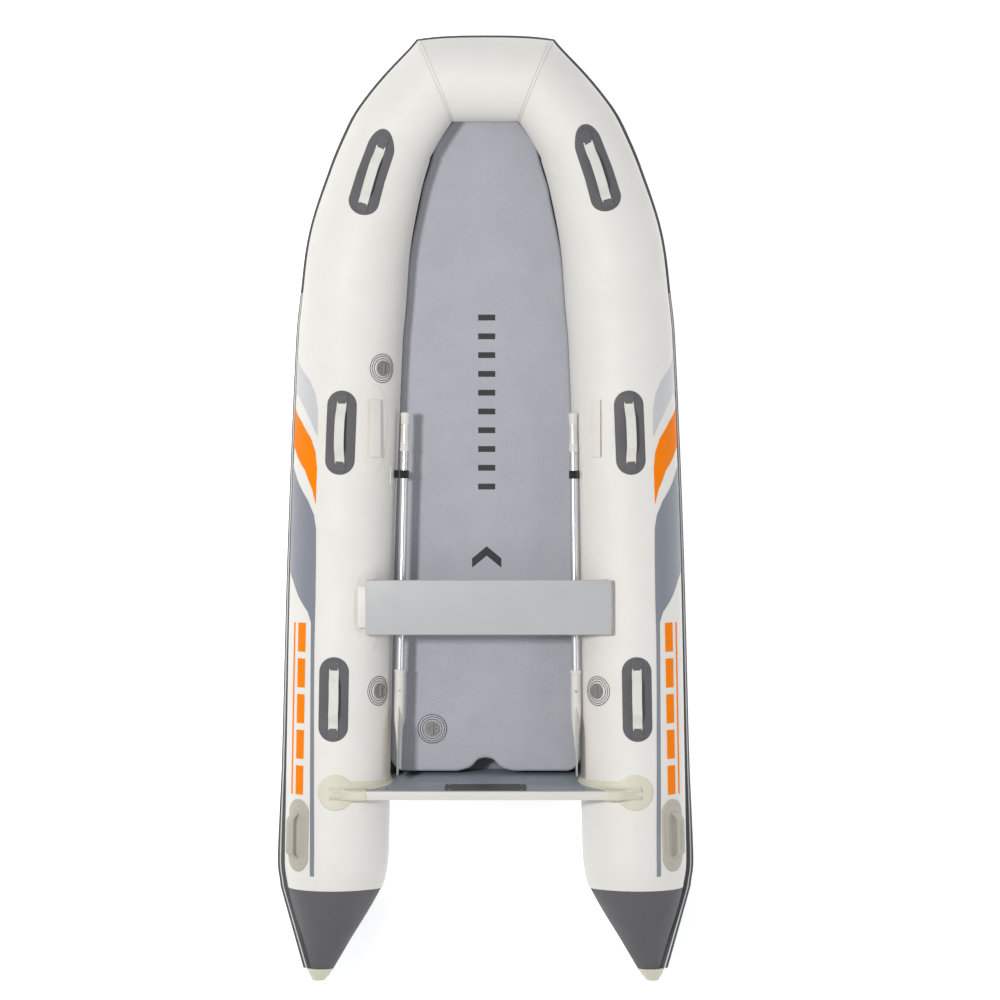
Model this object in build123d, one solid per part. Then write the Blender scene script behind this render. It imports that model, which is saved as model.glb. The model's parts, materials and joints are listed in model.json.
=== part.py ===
from build123d import *
from math import atan2, ceil, cos, degrees, hypot, radians, sin, sqrt, tan
import os

# Inflatable roll-up dinghy: two side tubes joined by a mitred bow tube, a drop-stitch deck,
# a fabric hull with an air keel, a plywood transom, a bench, two oars and the fittings.
# Frame: X to starboard, Y to the bow, Z up. The origin is on the ground plane, amidships.
# All lengths are in millimetres.

# ---- overall sizes -----------------------------------------------------------------------
overall_length = 3500.0
overall_beam = 1557.0          # over the rub strakes
tube_radius = 194.5
bow_radius = 154.0
bow_rise = 161.0               # bow tube centre above the side tube centre
skin = 1.2                     # coated fabric
gap = 0.3                      # glue line or seat between two pieces
panel_step = 140.0             # longest straight length in a bent tube

# ---- stern cones -------------------------------------------------------------------------
cone_length = 303.0
cone_seam_radius = 176.0
cone_end_radius = 43.0
cone_end_shift = 46.0          # the end lies outboard of the tube centre
cone_end_lift = 20.0
cap_length = 47.0
cap_base_radius = 50.0
cap_end_radius = 27.0
cap_wall = 5.0

# ---- rub strake --------------------------------------------------------------------------
strake_depth = 28.0
strake_half_angle = 6.5        # degrees of the tube that half its base covers
strake_aft_angle = -2.0        # degrees below the tube's widest line
strake_mid_angle = -15.0
strake_bow_angle = -36.0

# ---- deck, hull and keel -----------------------------------------------------------------
deck_below_centre = 44.5       # deck top below the side tubes' centres
deck_thickness = 70.0
deck_rise_share = 0.70         # of the tubes' rise, so the mat stays tucked under them
deck_front_setback = 285.0     # from the front of the bow tube
deck_rear_gap = 20.0           # to the transom's inner face
deck_sheet = 1.5
deck_side_clear = 2.0
notch_width = 206.0
notch_depth = 50.0
deck_rear_corner = 60.0
deck_nose_corner = 25.0
hull_edge_angle = 35.0         # degrees inboard of the tube's lowest line, aft
hull_bow_angle = 12.0          # the same at the bow
keel_clear = 2.5               # keel line above the ground plane
keel_front_setback = 640.0
hull_front_setback = 220.0
keel_rear_setback = 60.0

# ---- transom -----------------------------------------------------------------------------
transom_from_seam = 406.0      # inner face at deck height, forward of the cone seam
transom_rake = 7.4             # degrees aft
transom_thickness = 27.0
transom_top = 423.0
transom_foot = 14.0
transom_tube_lap = 81.0        # board's upper ends, inboard of the tube centres
transom_low_tube_lap = 156.0   # the same below the tubes' middle
trim_wall = 2.0
trim_depth = 18.0
holder_pad_radius = 66.0
holder_pad_thickness = 5.0
holder_body_width = 58.0
holder_wing_reach = 160.0      # from the pad's middle to the tip of its wing
holder_wing_width = 46.0
holder_cover = 34.0            # how far the holder reaches over the board's end
motor_plate_width = 298.0
motor_plate_height = 104.0
motor_plate_thickness = 4.0
motor_plate_below_top = 20.0
plate_corner = 10.0
plate_bolt_radius = 4.0
plate_bolt_head = 6.5
plate_bolt_head_height = 2.4
plate_bolt_sink = 3.0           # recess in the plate, so its face is clear of the heads
plate_bolt_inset = 16.0
screw_head_radius = 5.0
screw_head_height = 3.0
screw_spacing = 728.0
screw_below_top = 55.0

# ---- bench -------------------------------------------------------------------------------
seat_end_lap = 103.5           # bench ends, inboard of the tube centres
seat_depth = 202.0
seat_thickness = 20.0
seat_above_tube = 7.0
seat_shift = 12.0              # the bench sits a little to starboard
seat_from_transom = 643.0      # bench centre forward of the transom's inner face
seat_corner = 6.0
rail_arc = 112.0               # round the skin, inboard of the tube's crown
rail_length = 212.0
rail_width = 43.0
rail_neck_width = 27.0
rail_neck_height = 10.0
rail_head_height = 4.0
rail_run_clear = 1.0
rail_root = 14.0               # neck below the skin before the tube is cut away
bench_skin_clear = 5.0         # bracket above the tube, for the run of the bench
fore_rail_setback = 1442.0     # rail centre from the front of the bow tube
rail_patch_length = 336.0
rail_patch_width = 130.0
bracket_length = 150.0
bracket_wall = 4.0
bracket_web_start = 16.0       # above the rail line
bracket_web_share = 0.8        # of the rail's width
bracket_flange_share = 1.7

# ---- grab handles and stern carry handles ------------------------------------------------
handle_arc = 13.6              # round the skin, outboard of the crown
handle_patch_length = 312.0
handle_patch_width = 111.0
handle_strap_length = 226.0
handle_strap_width = 36.0
handle_strap_thickness = 3.0
handle_loop_height = 24.0
handle_loop_foot = 22.0        # sewn end of the loop
handle_loop_flat = 0.42        # share of the half length where the loop runs level
fore_handle_setback = 501.0    # from the front of the bow tube
mid_handle_setback = 1458.0
aft_handle_from_seam = 709.0
carry_arc = 154.5
carry_from_seam = 199.0
carry_length = 273.0
carry_width = 104.0
carry_base_thickness = 7.0
carry_grip_length = 179.0
carry_grip_width = 30.0
carry_grip_thickness = 11.0
carry_grip_height = 46.0
carry_grip_slope = 22.0
carry_grip_leg = 22.0
carry_corner = 30.0
root_depth = 20.0              # grips and straps start this deep and are cut by the tube

# ---- valves ------------------------------------------------------------------------------
valve_flange_radius = 55.5
valve_flange_thickness = 2.6
valve_barrel_radius = 31.0
valve_wall = 4.0
valve_depth = 30.0
valve_port_step = 11.0         # bore to port
valve_floor = 3.0
valve_cap_inset = 2.5          # from the barrel's outside
valve_cap_height = 5.0
valve_plug_lap = 4.0           # over the port's edge
valve_stem_radius = 4.0
valve_button_radius = 8.0
valve_press = 5.0
valve_hub_wall = 3.0
valve_arm_width = 7.0
valve_disc = 3.0               # thickness of the plug and of its button
valve_button_clear = 2.0       # under the pressed button
valve_skirt_wall = 2.0
valve_skirt_length = 10.0
valve_skirt_drop = 4.9         # middle of the skirt under the cap
valve_bar_width = 7.0
valve_bar_height = 5.0
valve_bar_inset = 6.0
port_aft_valve_angle = 50.0    # degrees inboard of the crown
starboard_aft_valve_angle = 42.0
fore_valve_angle = 41.0
aft_valve_from_seam = 740.0
fore_valve_setback = 1212.0
deck_valve_x = -200.0
deck_valve_from_transom = 179.0
baffle_setback = 1350.0        # inner fabric walls between the air chambers

# ---- oars --------------------------------------------------------------------------------
oar_length = 1350.0
oar_tip_clear = 30.0           # blade tip to transom
shaft_radius = 15.5
shaft_wall = 1.5
grip_radius = 18.0
grip_length = 145.0
socket_radius = 20.0
socket_length = 206.0
socket_overlap = 120.0         # shaft inside the blade's socket
blade_length = 187.0
blade_height = 156.0
blade_thickness = 9.0
button_radius = 4.0
button_stand = 3.5
button_from_socket = 78.0
button_collar = 2.0            # height and overhang of the collar inside the shaft
button_collar_below = 4.0      # collar's middle under the shaft's inner wall
button_root = 5.0
grip_cap = 6.0                 # closed end of the grip
grip_corner = 5.0
oar_strap_width = 30.0
oar_strap_thickness = 2.5
oar_strap_from_grip = 231.0
oar_loop_clear = 0.3
oar_strap_foot = (70.0, 60.0, 12.0)   # length, width and corner of its glued foot
# How far each oar's ends lie inboard of its tube's side, and above the tube's centre.
port_oar = {"grip_in": 64.0, "blade_in": 34.5, "grip_up": 81.5, "blade_up": 63.5}
starboard_oar = {"grip_in": 36.5, "blade_in": 22.5, "grip_up": 98.5, "blade_up": 75.5}

# ---- bow tow ring ------------------------------------------------------------------------
tow_patch_radius = 60.0
tow_patch_thickness = 3.0
tow_angle = 159.0              # degrees forward of the bow tube's crown, under the strake
tow_ring_wire = 4.0
tow_ring_half_width = 25.0
tow_ring_drop = 46.0
tow_ring_bend = 9.0
tow_lug_length = 34.0
tow_lug_radius = 8.5
tow_pin_clear = 0.3

# ---- places worked out from the sizes above ----------------------------------------------
stern_y = -overall_length / 2
bow_y = overall_length / 2
cone_end_y = stern_y + cap_length
seam_y = cone_end_y + cone_length
half_spacing = overall_beam / 2 - strake_depth - tube_radius
mitre_y = bow_y - bow_radius
mitre_half_turn = 23.0         # degrees: half the corner between side tube and bow tube
transom_y = seam_y + transom_from_seam
deck_top = tube_radius - deck_below_centre
transom_half_width = half_spacing - transom_tube_lap
transom_low_half_width = half_spacing - transom_low_tube_lap
seat_width = 2 * (half_spacing - seat_end_lap)
seat_underside = 2 * tube_radius + seat_above_tube
rail_angle = degrees(rail_arc / tube_radius)
handle_angle = degrees(handle_arc / tube_radius)
carry_angle = degrees(carry_arc / tube_radius)
valve_bore_radius = valve_barrel_radius - valve_wall
valve_port_radius = valve_bore_radius - valve_port_step
valve_plug_radius = valve_port_radius + valve_plug_lap
valve_cap_radius = valve_barrel_radius - valve_cap_inset
port, starboard = -1, 1
side_name = {port: "port", starboard: "starboard"}

# Lines of the side tubes: (place along Y, value). Aft places count from the cone seam and
# forward ones from the front of the bow, so a longer boat is longer amidships.
inset_line = [(seam_y, -7.8), (seam_y + 70, -4.0), (seam_y + 140, 0.0), (seam_y + 470, 6.0),
              (seam_y + 1220, 21.0), (bow_y - 1107, 52.0), (bow_y - 969, 65.0),
              (bow_y - 745, 90.0), (bow_y - 526, 149.0), (bow_y - 417, 189.0),
              (bow_y - 345, 224.0), (mitre_y, 367.0)]
rise_line = [(seam_y, 0.0), (bow_y - 1450, 0.0), (bow_y - 1107, 0.02), (bow_y - 969, 0.06),
             (bow_y - 745, 0.20), (bow_y - 526, 0.47), (bow_y - 345, 0.78), (mitre_y, 1.0)]
taper_line = [(seam_y + 140, 0.0), (bow_y - 1107, 0.0), (bow_y - 969, 0.02),
              (bow_y - 745, 0.18), (bow_y - 526, 0.58), (bow_y - 345, 0.90), (mitre_y, 1.0)]
neck_line = [(seam_y, 1.0), (seam_y + 45, 0.40), (seam_y + 90, 0.10), (seam_y + 140, 0.0)]
keel_line = [(seam_y, 0.0), (bow_y - 1150, 0.0), (bow_y - 745, 0.068), (bow_y - 526, 0.37),
             (bow_y - 345, 0.80), (bow_y - 285, 0.985), (bow_y - 220, 1.265)]
strake_line = [(stern_y, strake_aft_angle), (seam_y, strake_aft_angle),
               (seam_y + 470, strake_mid_angle), (bow_y - 1107, strake_mid_angle - 8),
               (bow_y - 526, strake_bow_angle + 6), (mitre_y, strake_bow_angle)]

panel_seams = [seam_y, seam_y + 135, seam_y + 640, seam_y + 1150, bow_y - baffle_setback,
               bow_y - 969, bow_y - 745, bow_y - 526, bow_y - 345, mitre_y]


def on_line(line, y):
    """Value at y of a smooth curve through the points of a line."""
    y = min(max(y, line[0][0]), line[-1][0])
    i = max(k for k in range(len(line) - 1) if line[k][0] <= y)

    def slope(k):
        """Slope through a point, level where the line turns or starts to run level."""
        if k in (0, len(line) - 1):
            return 0.0 if line[k][1] == line[abs(k - 1)][1] else (
                (line[max(k, 1)][1] - line[max(k, 1) - 1][1])
                / (line[max(k, 1)][0] - line[max(k, 1) - 1][0]))
        rise_before, rise_after = line[k][1] - line[k - 1][1], line[k + 1][1] - line[k][1]
        if rise_before * rise_after <= 0:
            return 0.0
        return (rise_before + rise_after) / (line[k + 1][0] - line[k - 1][0])

    (y0, v0), (y1, v1) = line[i], line[i + 1]
    span = y1 - y0
    t = (y - y0) / span
    return ((2 * t**3 - 3 * t**2 + 1) * v0 + (t**3 - 2 * t**2 + t) * span * slope(i)
            + (3 * t**2 - 2 * t**3) * v1 + (t**3 - t**2) * span * slope(i + 1))


def rise(y):
    """Height of the tube centre at y above its height aft."""
    return bow_rise * on_line(rise_line, y)


def centre(side, y):
    """Centre of the side tube, or of its stern cone, at y."""
    if y < seam_y:
        share = (seam_y - y) / cone_length
        x = half_spacing - inset_line[0][1] + cone_end_shift * share
        return Vector(side * x, y, tube_radius + cone_end_lift * share)
    return Vector(side * (half_spacing - on_line(inset_line, y)), y, tube_radius + rise(y))


def radius(y):
    """Radius of the side tube, or of its stern cone, at y."""
    if y < seam_y:
        share = (seam_y - y) / cone_length
        return cone_seam_radius + (cone_end_radius - cone_seam_radius) * share
    tapered = tube_radius + (bow_radius - tube_radius) * on_line(taper_line, y)
    return tapered + (cone_seam_radius - tube_radius) * on_line(neck_line, y)


def axes(side, y):
    """Forward, outboard and upward directions of the tube at y."""
    if y <= seam_y:
        along = Vector(0, 1, 0)
    else:
        along = (centre(side, y + 1) - centre(side, y - 1)).normalized()
    if y >= mitre_y - 0.01:
        turn = radians(2 * mitre_half_turn)
        along = Vector(-side * cos(turn), sin(turn), 0)
    up = (Vector(0, 0, 1) - along * along.Z).normalized()
    return along, along.cross(up) * side, up


def section_plane(side, y):
    """Plane across the tube at y, X outboard and Y up, with the stretch of its mitre."""
    if y >= mitre_y - 0.01:
        turn = radians(mitre_half_turn)
        outboard, up, stretch = Vector(side * sin(turn), cos(turn), 0), Vector(0, 0, 1), 1 / cos(turn)
    else:
        _, outboard, up = axes(side, y)
        stretch = 1.0
    return Plane(centre(side, y), x_dir=outboard, z_dir=outboard.cross(up)), stretch


def section(side, y, offset=0.0):
    """Round section of the tube at y; at the mitre it is the ellipse of the mitre plane."""
    plane, stretch = section_plane(side, y)
    if stretch > 1:
        return plane * Ellipse((bow_radius + offset) * stretch, bow_radius + offset)
    return plane * Circle(radius(y) + offset)


def stations(start, end):
    """Section places between two ends: every panel seam, and steps in between."""
    marks = sorted({start, end} | {y for y in panel_seams if start < y < end}
                   | {y for y, _ in neck_line if start < y < end})
    places = []
    for a, b in zip(marks, marks[1:]):
        count = ceil((b - a) / panel_step)
        places += [a + (b - a) * i / count for i in range(count)]
    return places + [marks[-1]]


fine_stations = stations(seam_y, mitre_y)


def around(start, end):
    """The tube's own section places that cover start to end, so that pieces fit its panels."""
    first = max([y for y in fine_stations if y <= start] or [fine_stations[0]])
    last = min([y for y in fine_stations if y >= end] or [fine_stations[-1]])
    return [y for y in fine_stations if first <= y <= last]


def tube_core(side, start, end, offset):
    """Solid tube between two places, its radius larger by offset."""
    return loft([section(side, y, offset) for y in around(start, end)], ruled=True)


def tube_panel(side, start, end):
    """One fabric panel of the tube, open at both ends."""
    return tube_core(side, start, end, 0) - tube_core(side, start, end, -skin)


def on_tube(side, y, angle, lift=0.0):
    """Plane on the tube's skin: X forward along it, Z outward; angle is outboard of the crown."""
    along, outboard, up = axes(side, y)
    normal = up * cos(radians(angle)) + outboard * sin(radians(angle))
    return Plane(centre(side, y) + normal * (radius(y) + lift), x_dir=along, z_dir=normal)


def layer(side, plane, outline, reach, lift, thickness):
    """Sheet glued on the tube: the outline on a plane, thickness deep, lift above the skin."""
    y = plane.origin.Y
    prism = extrude(plane * outline, reach, both=True)
    outer = tube_core(side, y - reach, y + reach, lift + thickness)
    return prism & (outer - tube_core(side, y - reach, y + reach, lift))


def solids(*shapes):
    """One compound of every solid in the shapes given."""
    return Compound(children=[s for shape in shapes for s in shape.solids()])


def transom_plane(z, depth=0.0):
    """Plane on the transom's inner face at height z, Z forward, depth aft of it."""
    rake = radians(transom_rake)
    y = transom_y - (z - deck_top) * tan(rake)
    normal = Vector(0, cos(rake), sin(rake))
    origin = Vector(0, y, z) - normal * depth
    return Plane(origin, x_dir=(-1, 0, 0), z_dir=normal)


pieces = {}


# ---- tubes -------------------------------------------------------------------------------
def make_side_tube(side, valve_places):
    """Aft air chamber: four panels from the cone seam to the baffle."""
    panels = []
    for start, end in zip(panel_seams[:4], panel_seams[1:5]):
        panel = tube_panel(side, start, end)
        for plane in valve_places:
            if start < plane.origin.Y < end:
                panel -= extrude(plane * Circle(valve_barrel_radius + gap), 2 * valve_depth,
                                 both=True)
        panels.append(panel)
    return solids(*panels)


def make_bow_tube(valve_plane):
    """Bow air chamber: five panels on each side and the straight bow length between them."""
    panels = []
    for side in (port, starboard):
        for start, end in zip(panel_seams[4:-1], panel_seams[5:]):
            panel = tube_panel(side, start, end)
            if side == port and start < valve_plane.origin.Y < end:
                panel -= extrude(valve_plane * Circle(valve_barrel_radius + gap),
                                 2 * valve_depth, both=True)
            panels.append(panel)
    panels.append(bow_core(0) - bow_core(-skin))
    return solids(*panels)


def bow_core(offset):
    """Solid bow length between the two mitre planes."""
    return loft([section(side, mitre_y, offset) for side in (port, starboard)], ruled=True)


def make_cone(side):
    """Fabric stern cone, open to its tube and closed by the cap."""
    def core(offset):
        ends = [Plane(centre(side, y), x_dir=(side, 0, 0), z_dir=(0, 1, 0))
                * Circle(radius(y) + offset) for y in (cone_end_y, seam_y - gap)]
        return loft(ends, ruled=True)
    return core(0) - core(-skin)


def make_cone_cap(side):
    """Moulded end cap over the cone's end and the strake's end."""
    base = centre(side, cone_end_y) + Vector(side * (cap_base_radius - cone_end_radius), 0, 0)

    def core(wall, length):
        ends = []
        for share in (0.0, length / cap_length):
            r = cap_base_radius + (cap_end_radius - cap_base_radius) * share - wall
            spot = base + Vector(side * 7.0 * share, -cap_length * share - gap, 0)
            ends.append(Plane(spot, x_dir=(side, 0, 0), z_dir=(0, -1, 0)) * Circle(r))
        return loft(ends, ruled=True)
    cup = core(0, cap_length - gap)
    rim = cup.edges().sort_by(Axis.Y)[0]
    return fillet(rim, 8.0) - core(cap_wall, cap_length - gap - cap_wall)


def strake_section(side, y):
    """D-shaped strake section, its base wrapped on the tube."""
    plane, stretch = section_plane(side, y)
    foot = radius(y) + gap
    middle = radians(on_line(strake_line, y))
    half = radians(strake_half_angle) * tube_radius / max(foot, tube_radius / 2)
    base = [(middle + half * s, foot / cos(half / 4)) for s in (1.0, 0.5, 0.0, -0.5, -1.0)]
    back = [(middle + half * s, foot + strake_depth * share)
            for s, share in ((-1.0, 0.28), (-0.72, 0.72), (-0.3, 1.0),
                             (0.3, 1.0), (0.72, 0.72), (1.0, 0.28))]
    points = [(r * cos(a) * stretch, r * sin(a)) for a, r in base + back]
    return plane * make_face(Polyline(*points, close=True))


def make_side_strake(side):
    """Strake from the stern cap to the mitre, in butted lengths."""
    lengths = []
    for start, end in zip([cone_end_y + gap] + panel_seams, panel_seams):
        places = [start] + [y for y in fine_stations if start < y <= end]
        if start < seam_y:
            places = [start, seam_y]
        lengths.append(loft([strake_section(side, y) for y in places], ruled=True))
    return solids(*lengths)


def make_bow_strake():
    """Strake across the straight bow length."""
    return loft([strake_section(side, mitre_y) for side in (port, starboard)], ruled=True)


def make_baffles():
    """Fabric walls inside the tubes, between the aft chambers and the bow chamber."""
    y = bow_y - baffle_setback
    walls = []
    for side in (port, starboard):
        plane, _ = section_plane(side, y)
        walls.append(extrude(plane * Circle(radius(y) - skin - gap), skin / 2, both=True))
    return solids(*walls)


# ---- deck, hull and keel -----------------------------------------------------------------
def deck_height(y):
    """Top of the deck at y: it lifts forward with the tubes."""
    return deck_top + deck_rise_share * rise(y)


def deck_half_width(y):
    """Half width that clears the tubes at every height of the mat's side."""
    level = min(deck_height(y), centre(starboard, y).Z)
    drop = centre(starboard, y).Z - level
    along = axes(starboard, y)[0]
    reach = sqrt(radius(y) ** 2 - drop ** 2) / hypot(along.X, along.Y) / max(along.Y, 0.3)
    return centre(starboard, y).X - reach - deck_side_clear


deck_rear_y = transom_y + deck_rear_gap
deck_front_y = bow_y - deck_front_setback
deck_places = [deck_rear_y + deck_rear_corner]
deck_places += [y for y in fine_stations
                if deck_rear_y + 2 * deck_rear_corner < y < deck_front_y - deck_rear_corner]


def deck_plan(inset):
    """Outline of the deck, drawn in by inset, with its rounded rear corners and rear notch."""
    side_points = [(deck_half_width(y) - inset, y) for y in deck_places]
    front = deck_front_y - inset
    nose = (deck_half_width(deck_front_y) - deck_nose_corner - inset, front)
    rear = deck_rear_y + inset
    half, top = notch_width / 2 + inset, rear + notch_depth
    points = [(half * s, rear + (top - rear) * share)
              for s, share in ((1.0, 0.0), (0.55, 0.30), (0.28, 0.85), (0.0, 1.0))]
    wide, corner = side_points[0][0], deck_rear_corner
    rear_corner = [(wide - corner, rear), (wide - corner * 0.3, rear + corner * 0.3)]
    starboard_side = points[::-1] + rear_corner + side_points + [nose]
    port_side = [(-x, y) for x, y in reversed(starboard_side[1:])]
    return make_face(Polyline(*starboard_side, *port_side, close=True))


def deck_band(lower, upper):
    """Slab of the deck between two depths under its top, as wide as the boat."""
    places = stations(deck_rear_y - 50, deck_front_y + 50)
    line = [(y, deck_height(y) - upper) for y in places]
    line += [(y, deck_height(y) - lower) for y in reversed(places)]
    profile = make_face(Plane.YZ * Polyline(*line, close=True))
    return extrude(profile, overall_beam / 2, both=True)


floor_cuts = [seam_y, seam_y + 1150, bow_y - 969, bow_y - 745, bow_y - 600, bow_y - 470,
              bow_y - 345, bow_y]


def in_lengths(shape):
    """The shape as butted lengths, so that each stays nearly straight where the floor lifts."""
    lengths = []
    for start, end in zip(floor_cuts, floor_cuts[1:]):
        slab = Pos(0, (start + end) / 2, 0) * Box(2 * overall_beam, end - start, overall_beam)
        lengths += (shape & slab).solids()
    return solids(*lengths)


def make_deck():
    """Drop-stitch mat as its top sheet, bottom sheet and the wall round its edge."""
    outline = extrude(deck_plan(0), overall_length)
    ring = outline - extrude(deck_plan(deck_sheet), overall_length)
    top = outline & deck_band(deck_sheet, 0)
    top -= (Pos(deck_valve_x, transom_y + deck_valve_from_transom, deck_top)
            * Cylinder(valve_barrel_radius + gap, 2 * valve_depth))
    pieces["deck_top_sheet"] = in_lengths(top)
    bottom = outline & deck_band(deck_thickness, deck_thickness - deck_sheet)
    pieces["deck_bottom_sheet"] = in_lengths(bottom)
    wall = ring & deck_band(deck_thickness - deck_sheet, deck_sheet)
    pieces["deck_side_wall"] = in_lengths(wall)


def keel_height(y):
    """Underside of the hull fabric on the centreline."""
    return keel_clear + bow_rise * on_line(keel_line, y)


def hull_edge(y):
    """Where the hull fabric is glued under the starboard tube: half width and height."""
    _, outboard, up = axes(starboard, y)
    share = min(1.0, rise(y) / (0.8 * bow_rise))
    tilt = radians(hull_edge_angle + (hull_bow_angle - hull_edge_angle) * share)
    spot = centre(starboard, y) - (up * cos(tilt) + outboard * sin(tilt)) * (radius(y) + gap)
    return spot.X, spot.Z


hull_rear_y = transom_y + 2 * transom_thickness
hull_bend_y = bow_y - 345
hull_front_y = bow_y - hull_front_setback


def hull_section(y):
    """Thin vee of the hull fabric across the boat at y; it lies level at its front end."""
    half, edge = hull_edge(min(y, hull_bend_y))
    if y == hull_front_y:
        half, edge = half / 2, keel_height(y) + skin
    line = [(-half, edge - skin), (0, keel_height(y)), (half, edge - skin)]
    line += [(x, z + skin) for x, z in reversed(line)]
    plane = Plane((0, y, 0), x_dir=(1, 0, 0), z_dir=(0, -1, 0))
    return plane * make_face(Polyline(*line, close=True))


def make_bottom_fabric():
    """Fabric hull, a shallow vee from tube to tube that rises to the bow tube."""
    marks = [hull_rear_y] + floor_cuts[1:-1] + [hull_front_y]
    bow_start = bow_y - 745
    tubes = [tube_core(side, bow_start - 100, mitre_y, gap) for side in (port, starboard)]
    tubes.append(bow_core(gap))
    lengths = []
    for start, end in zip(marks, marks[1:]):
        places = [start] + [y for y in fine_stations if start + 1 < y < end - 1] + [end]
        length = loft([hull_section(y) for y in places], ruled=True)
        if end > bow_start:
            for tube in tubes:
                length = (length - tube).solids().sort_by(SortBy.VOLUME)[-1]
        lengths.append(length)
    return solids(*lengths)


def make_keel_tube():
    """Air keel, closed at both ends, between the deck and the hull fabric."""
    rear, front = deck_rear_y + keel_rear_setback, bow_y - keel_front_setback
    places = [rear] + [y for y in fine_stations if rear + 60 < y < front - 60] + [front]

    def core(wall):
        rings = []
        for y in places:
            low = keel_height(y) + skin
            room = deck_height(y) - deck_thickness - low
            half, edge = hull_edge(y)
            slant = hypot(1, (edge - low) / half)
            r = (room - gap - gap * slant) / (1 + slant)
            shift = wall if y == rear else -wall if y == front else 0
            plane = Plane((0, y + shift, low + room - gap - r), x_dir=(1, 0, 0),
                          z_dir=(0, 1, 0))
            rings.append(plane * Circle(r - wall))
        return loft(rings, ruled=True)
    return core(0) - core(skin)


# ---- transom -----------------------------------------------------------------------------
def transom_outline(grow=0.0):
    """Board outline before the tubes are cut from it, in the plane of its inner face."""
    scale = 1 / cos(radians(transom_rake))
    low = (transom_foot - deck_top) * scale - grow
    mid = (tube_radius - deck_top) * scale
    high = (transom_top - deck_top) * scale + grow
    wide, narrow = transom_half_width + grow, transom_low_half_width
    points = [(-narrow, low), (narrow, low), (narrow, mid), (wide, mid), (wide, high),
              (-wide, high), (-wide, mid), (-narrow, mid)]
    return make_face(Polyline(*points, close=True))


def tubes_near(y, reach, offset):
    """Both side tubes as solids, for cutting what stands beside them at y."""
    return [tube_core(side, y - reach, y + reach, offset) for side in (port, starboard)]


def shifted(plane, depth):
    """The plane moved along its own Z."""
    return Plane(plane.origin + plane.z_dir * depth, x_dir=plane.x_dir, z_dir=plane.z_dir)


def make_transom():
    """Board, edge trim, holders, motor plates with their bolts, and the two screws."""
    face = transom_plane(deck_top)
    board = extrude(face * transom_outline(), -transom_thickness)
    for tube in tubes_near(transom_y, 3 * transom_thickness, gap):
        board -= tube
    board = board.solids().sort_by(SortBy.VOLUME)[-1]

    cover = extrude(shifted(face, trim_wall) * transom_outline(trim_wall),
                    -(transom_thickness + 2 * trim_wall))
    above = Pos(0, transom_y, transom_top - trim_depth + tube_radius / 2) * Box(
        overall_beam, 2 * tube_radius, tube_radius)
    trim = (cover & above) - extrude(shifted(face, gap) * transom_outline(gap),
                                     -transom_thickness - 2 * gap)
    pieces["transom_board"] = board
    pieces["transom_edge_trim"] = trim.solids().sort_by(SortBy.VOLUME)[-1]

    for side in (port, starboard):
        pieces[side_name[side] + "_transom_holder"] = make_holder(side, cover)

    spot = transom_plane(transom_top - motor_plate_below_top - motor_plate_height / 2)
    face_out = motor_plate_thickness + gap
    head_seat = face_out - plate_bolt_sink + gap
    head_middle = (transom_thickness + plate_bolt_head_height) / 2 + head_seat
    plate_outline = RectangleRounded(motor_plate_width, motor_plate_height, plate_corner)
    plates = [extrude(shifted(spot, depth) * plate_outline, motor_plate_thickness)
              for depth in (gap, -transom_thickness - face_out)]
    bolts = []
    for x in (-1, 1):
        for z in (-1, 1):
            local = spot * Pos(x * (motor_plate_width / 2 - plate_bolt_inset),
                               z * (motor_plate_height / 2 - plate_bolt_inset),
                               -transom_thickness / 2)
            hole = local * Cylinder(plate_bolt_radius + gap, 3 * transom_thickness)
            pieces["transom_board"] -= hole
            bolt = local * Cylinder(plate_bolt_radius, transom_thickness + 2 * head_seat)
            for end in (-1, 1):
                bolt += local * Pos(0, 0, end * head_middle) * Cylinder(plate_bolt_head,
                                                                        plate_bolt_head_height)
                hole += local * Pos(0, 0, end * (transom_thickness / 2 + face_out)) * Cylinder(
                    plate_bolt_head + gap, 2 * plate_bolt_sink)
            plates = [plate - hole for plate in plates]
            bolts.append(bolt)
    pieces["inner_motor_plate"], pieces["outer_motor_plate"] = plates
    pieces["motor_plate_bolts"] = solids(*bolts)

    screws = []
    spot = shifted(transom_plane(transom_top - screw_below_top), gap)
    for x in (-1, 1):
        screws.append(spot * Pos(x * screw_spacing / 2, 0, screw_head_height / 2)
                      * Cylinder(screw_head_radius, screw_head_height))
    pieces["transom_screws"] = solids(*screws)


def make_holder(side, cover):
    """Rubber moulding that ties one end of the transom to the crown of its tube."""
    top = transom_plane(transom_top, transom_thickness / 2).origin.Y
    pad_plane = on_tube(side, top, 0)
    wing = [(0, 0), (holder_wing_reach - 10, holder_wing_width - 12),
            (holder_wing_reach, holder_wing_width), (60, holder_pad_radius * 0.95)]
    wing = [(x, y * -side) for x, y in wing]
    outline = Circle(holder_pad_radius) + make_face(Polyline(*wing, close=True))
    holder = layer(side, pad_plane, outline, holder_wing_reach + 15, gap, holder_pad_thickness)
    inner = transom_half_width - holder_cover
    crown = tube_radius + radius(top)
    points = [(inner, crown - 70), (half_spacing + 25, crown - 60), (half_spacing + 25, crown + 9),
              (half_spacing - 30, crown + 16), (transom_half_width + 14, transom_top + 7),
              (inner, transom_top + 7)]
    points = [(side * x, z) for x, z in points]
    profile = make_face(Plane(origin=(0, top, 0), x_dir=(1, 0, 0), z_dir=(0, -1, 0))
                        * Polyline(*points, close=True))
    body = extrude(profile, holder_body_width / 2, both=True)
    body -= tube_core(side, top - 90, top + 90, gap)
    holder = (holder + body) - cover
    return holder.solids().sort_by(SortBy.VOLUME)[-1]


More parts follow.
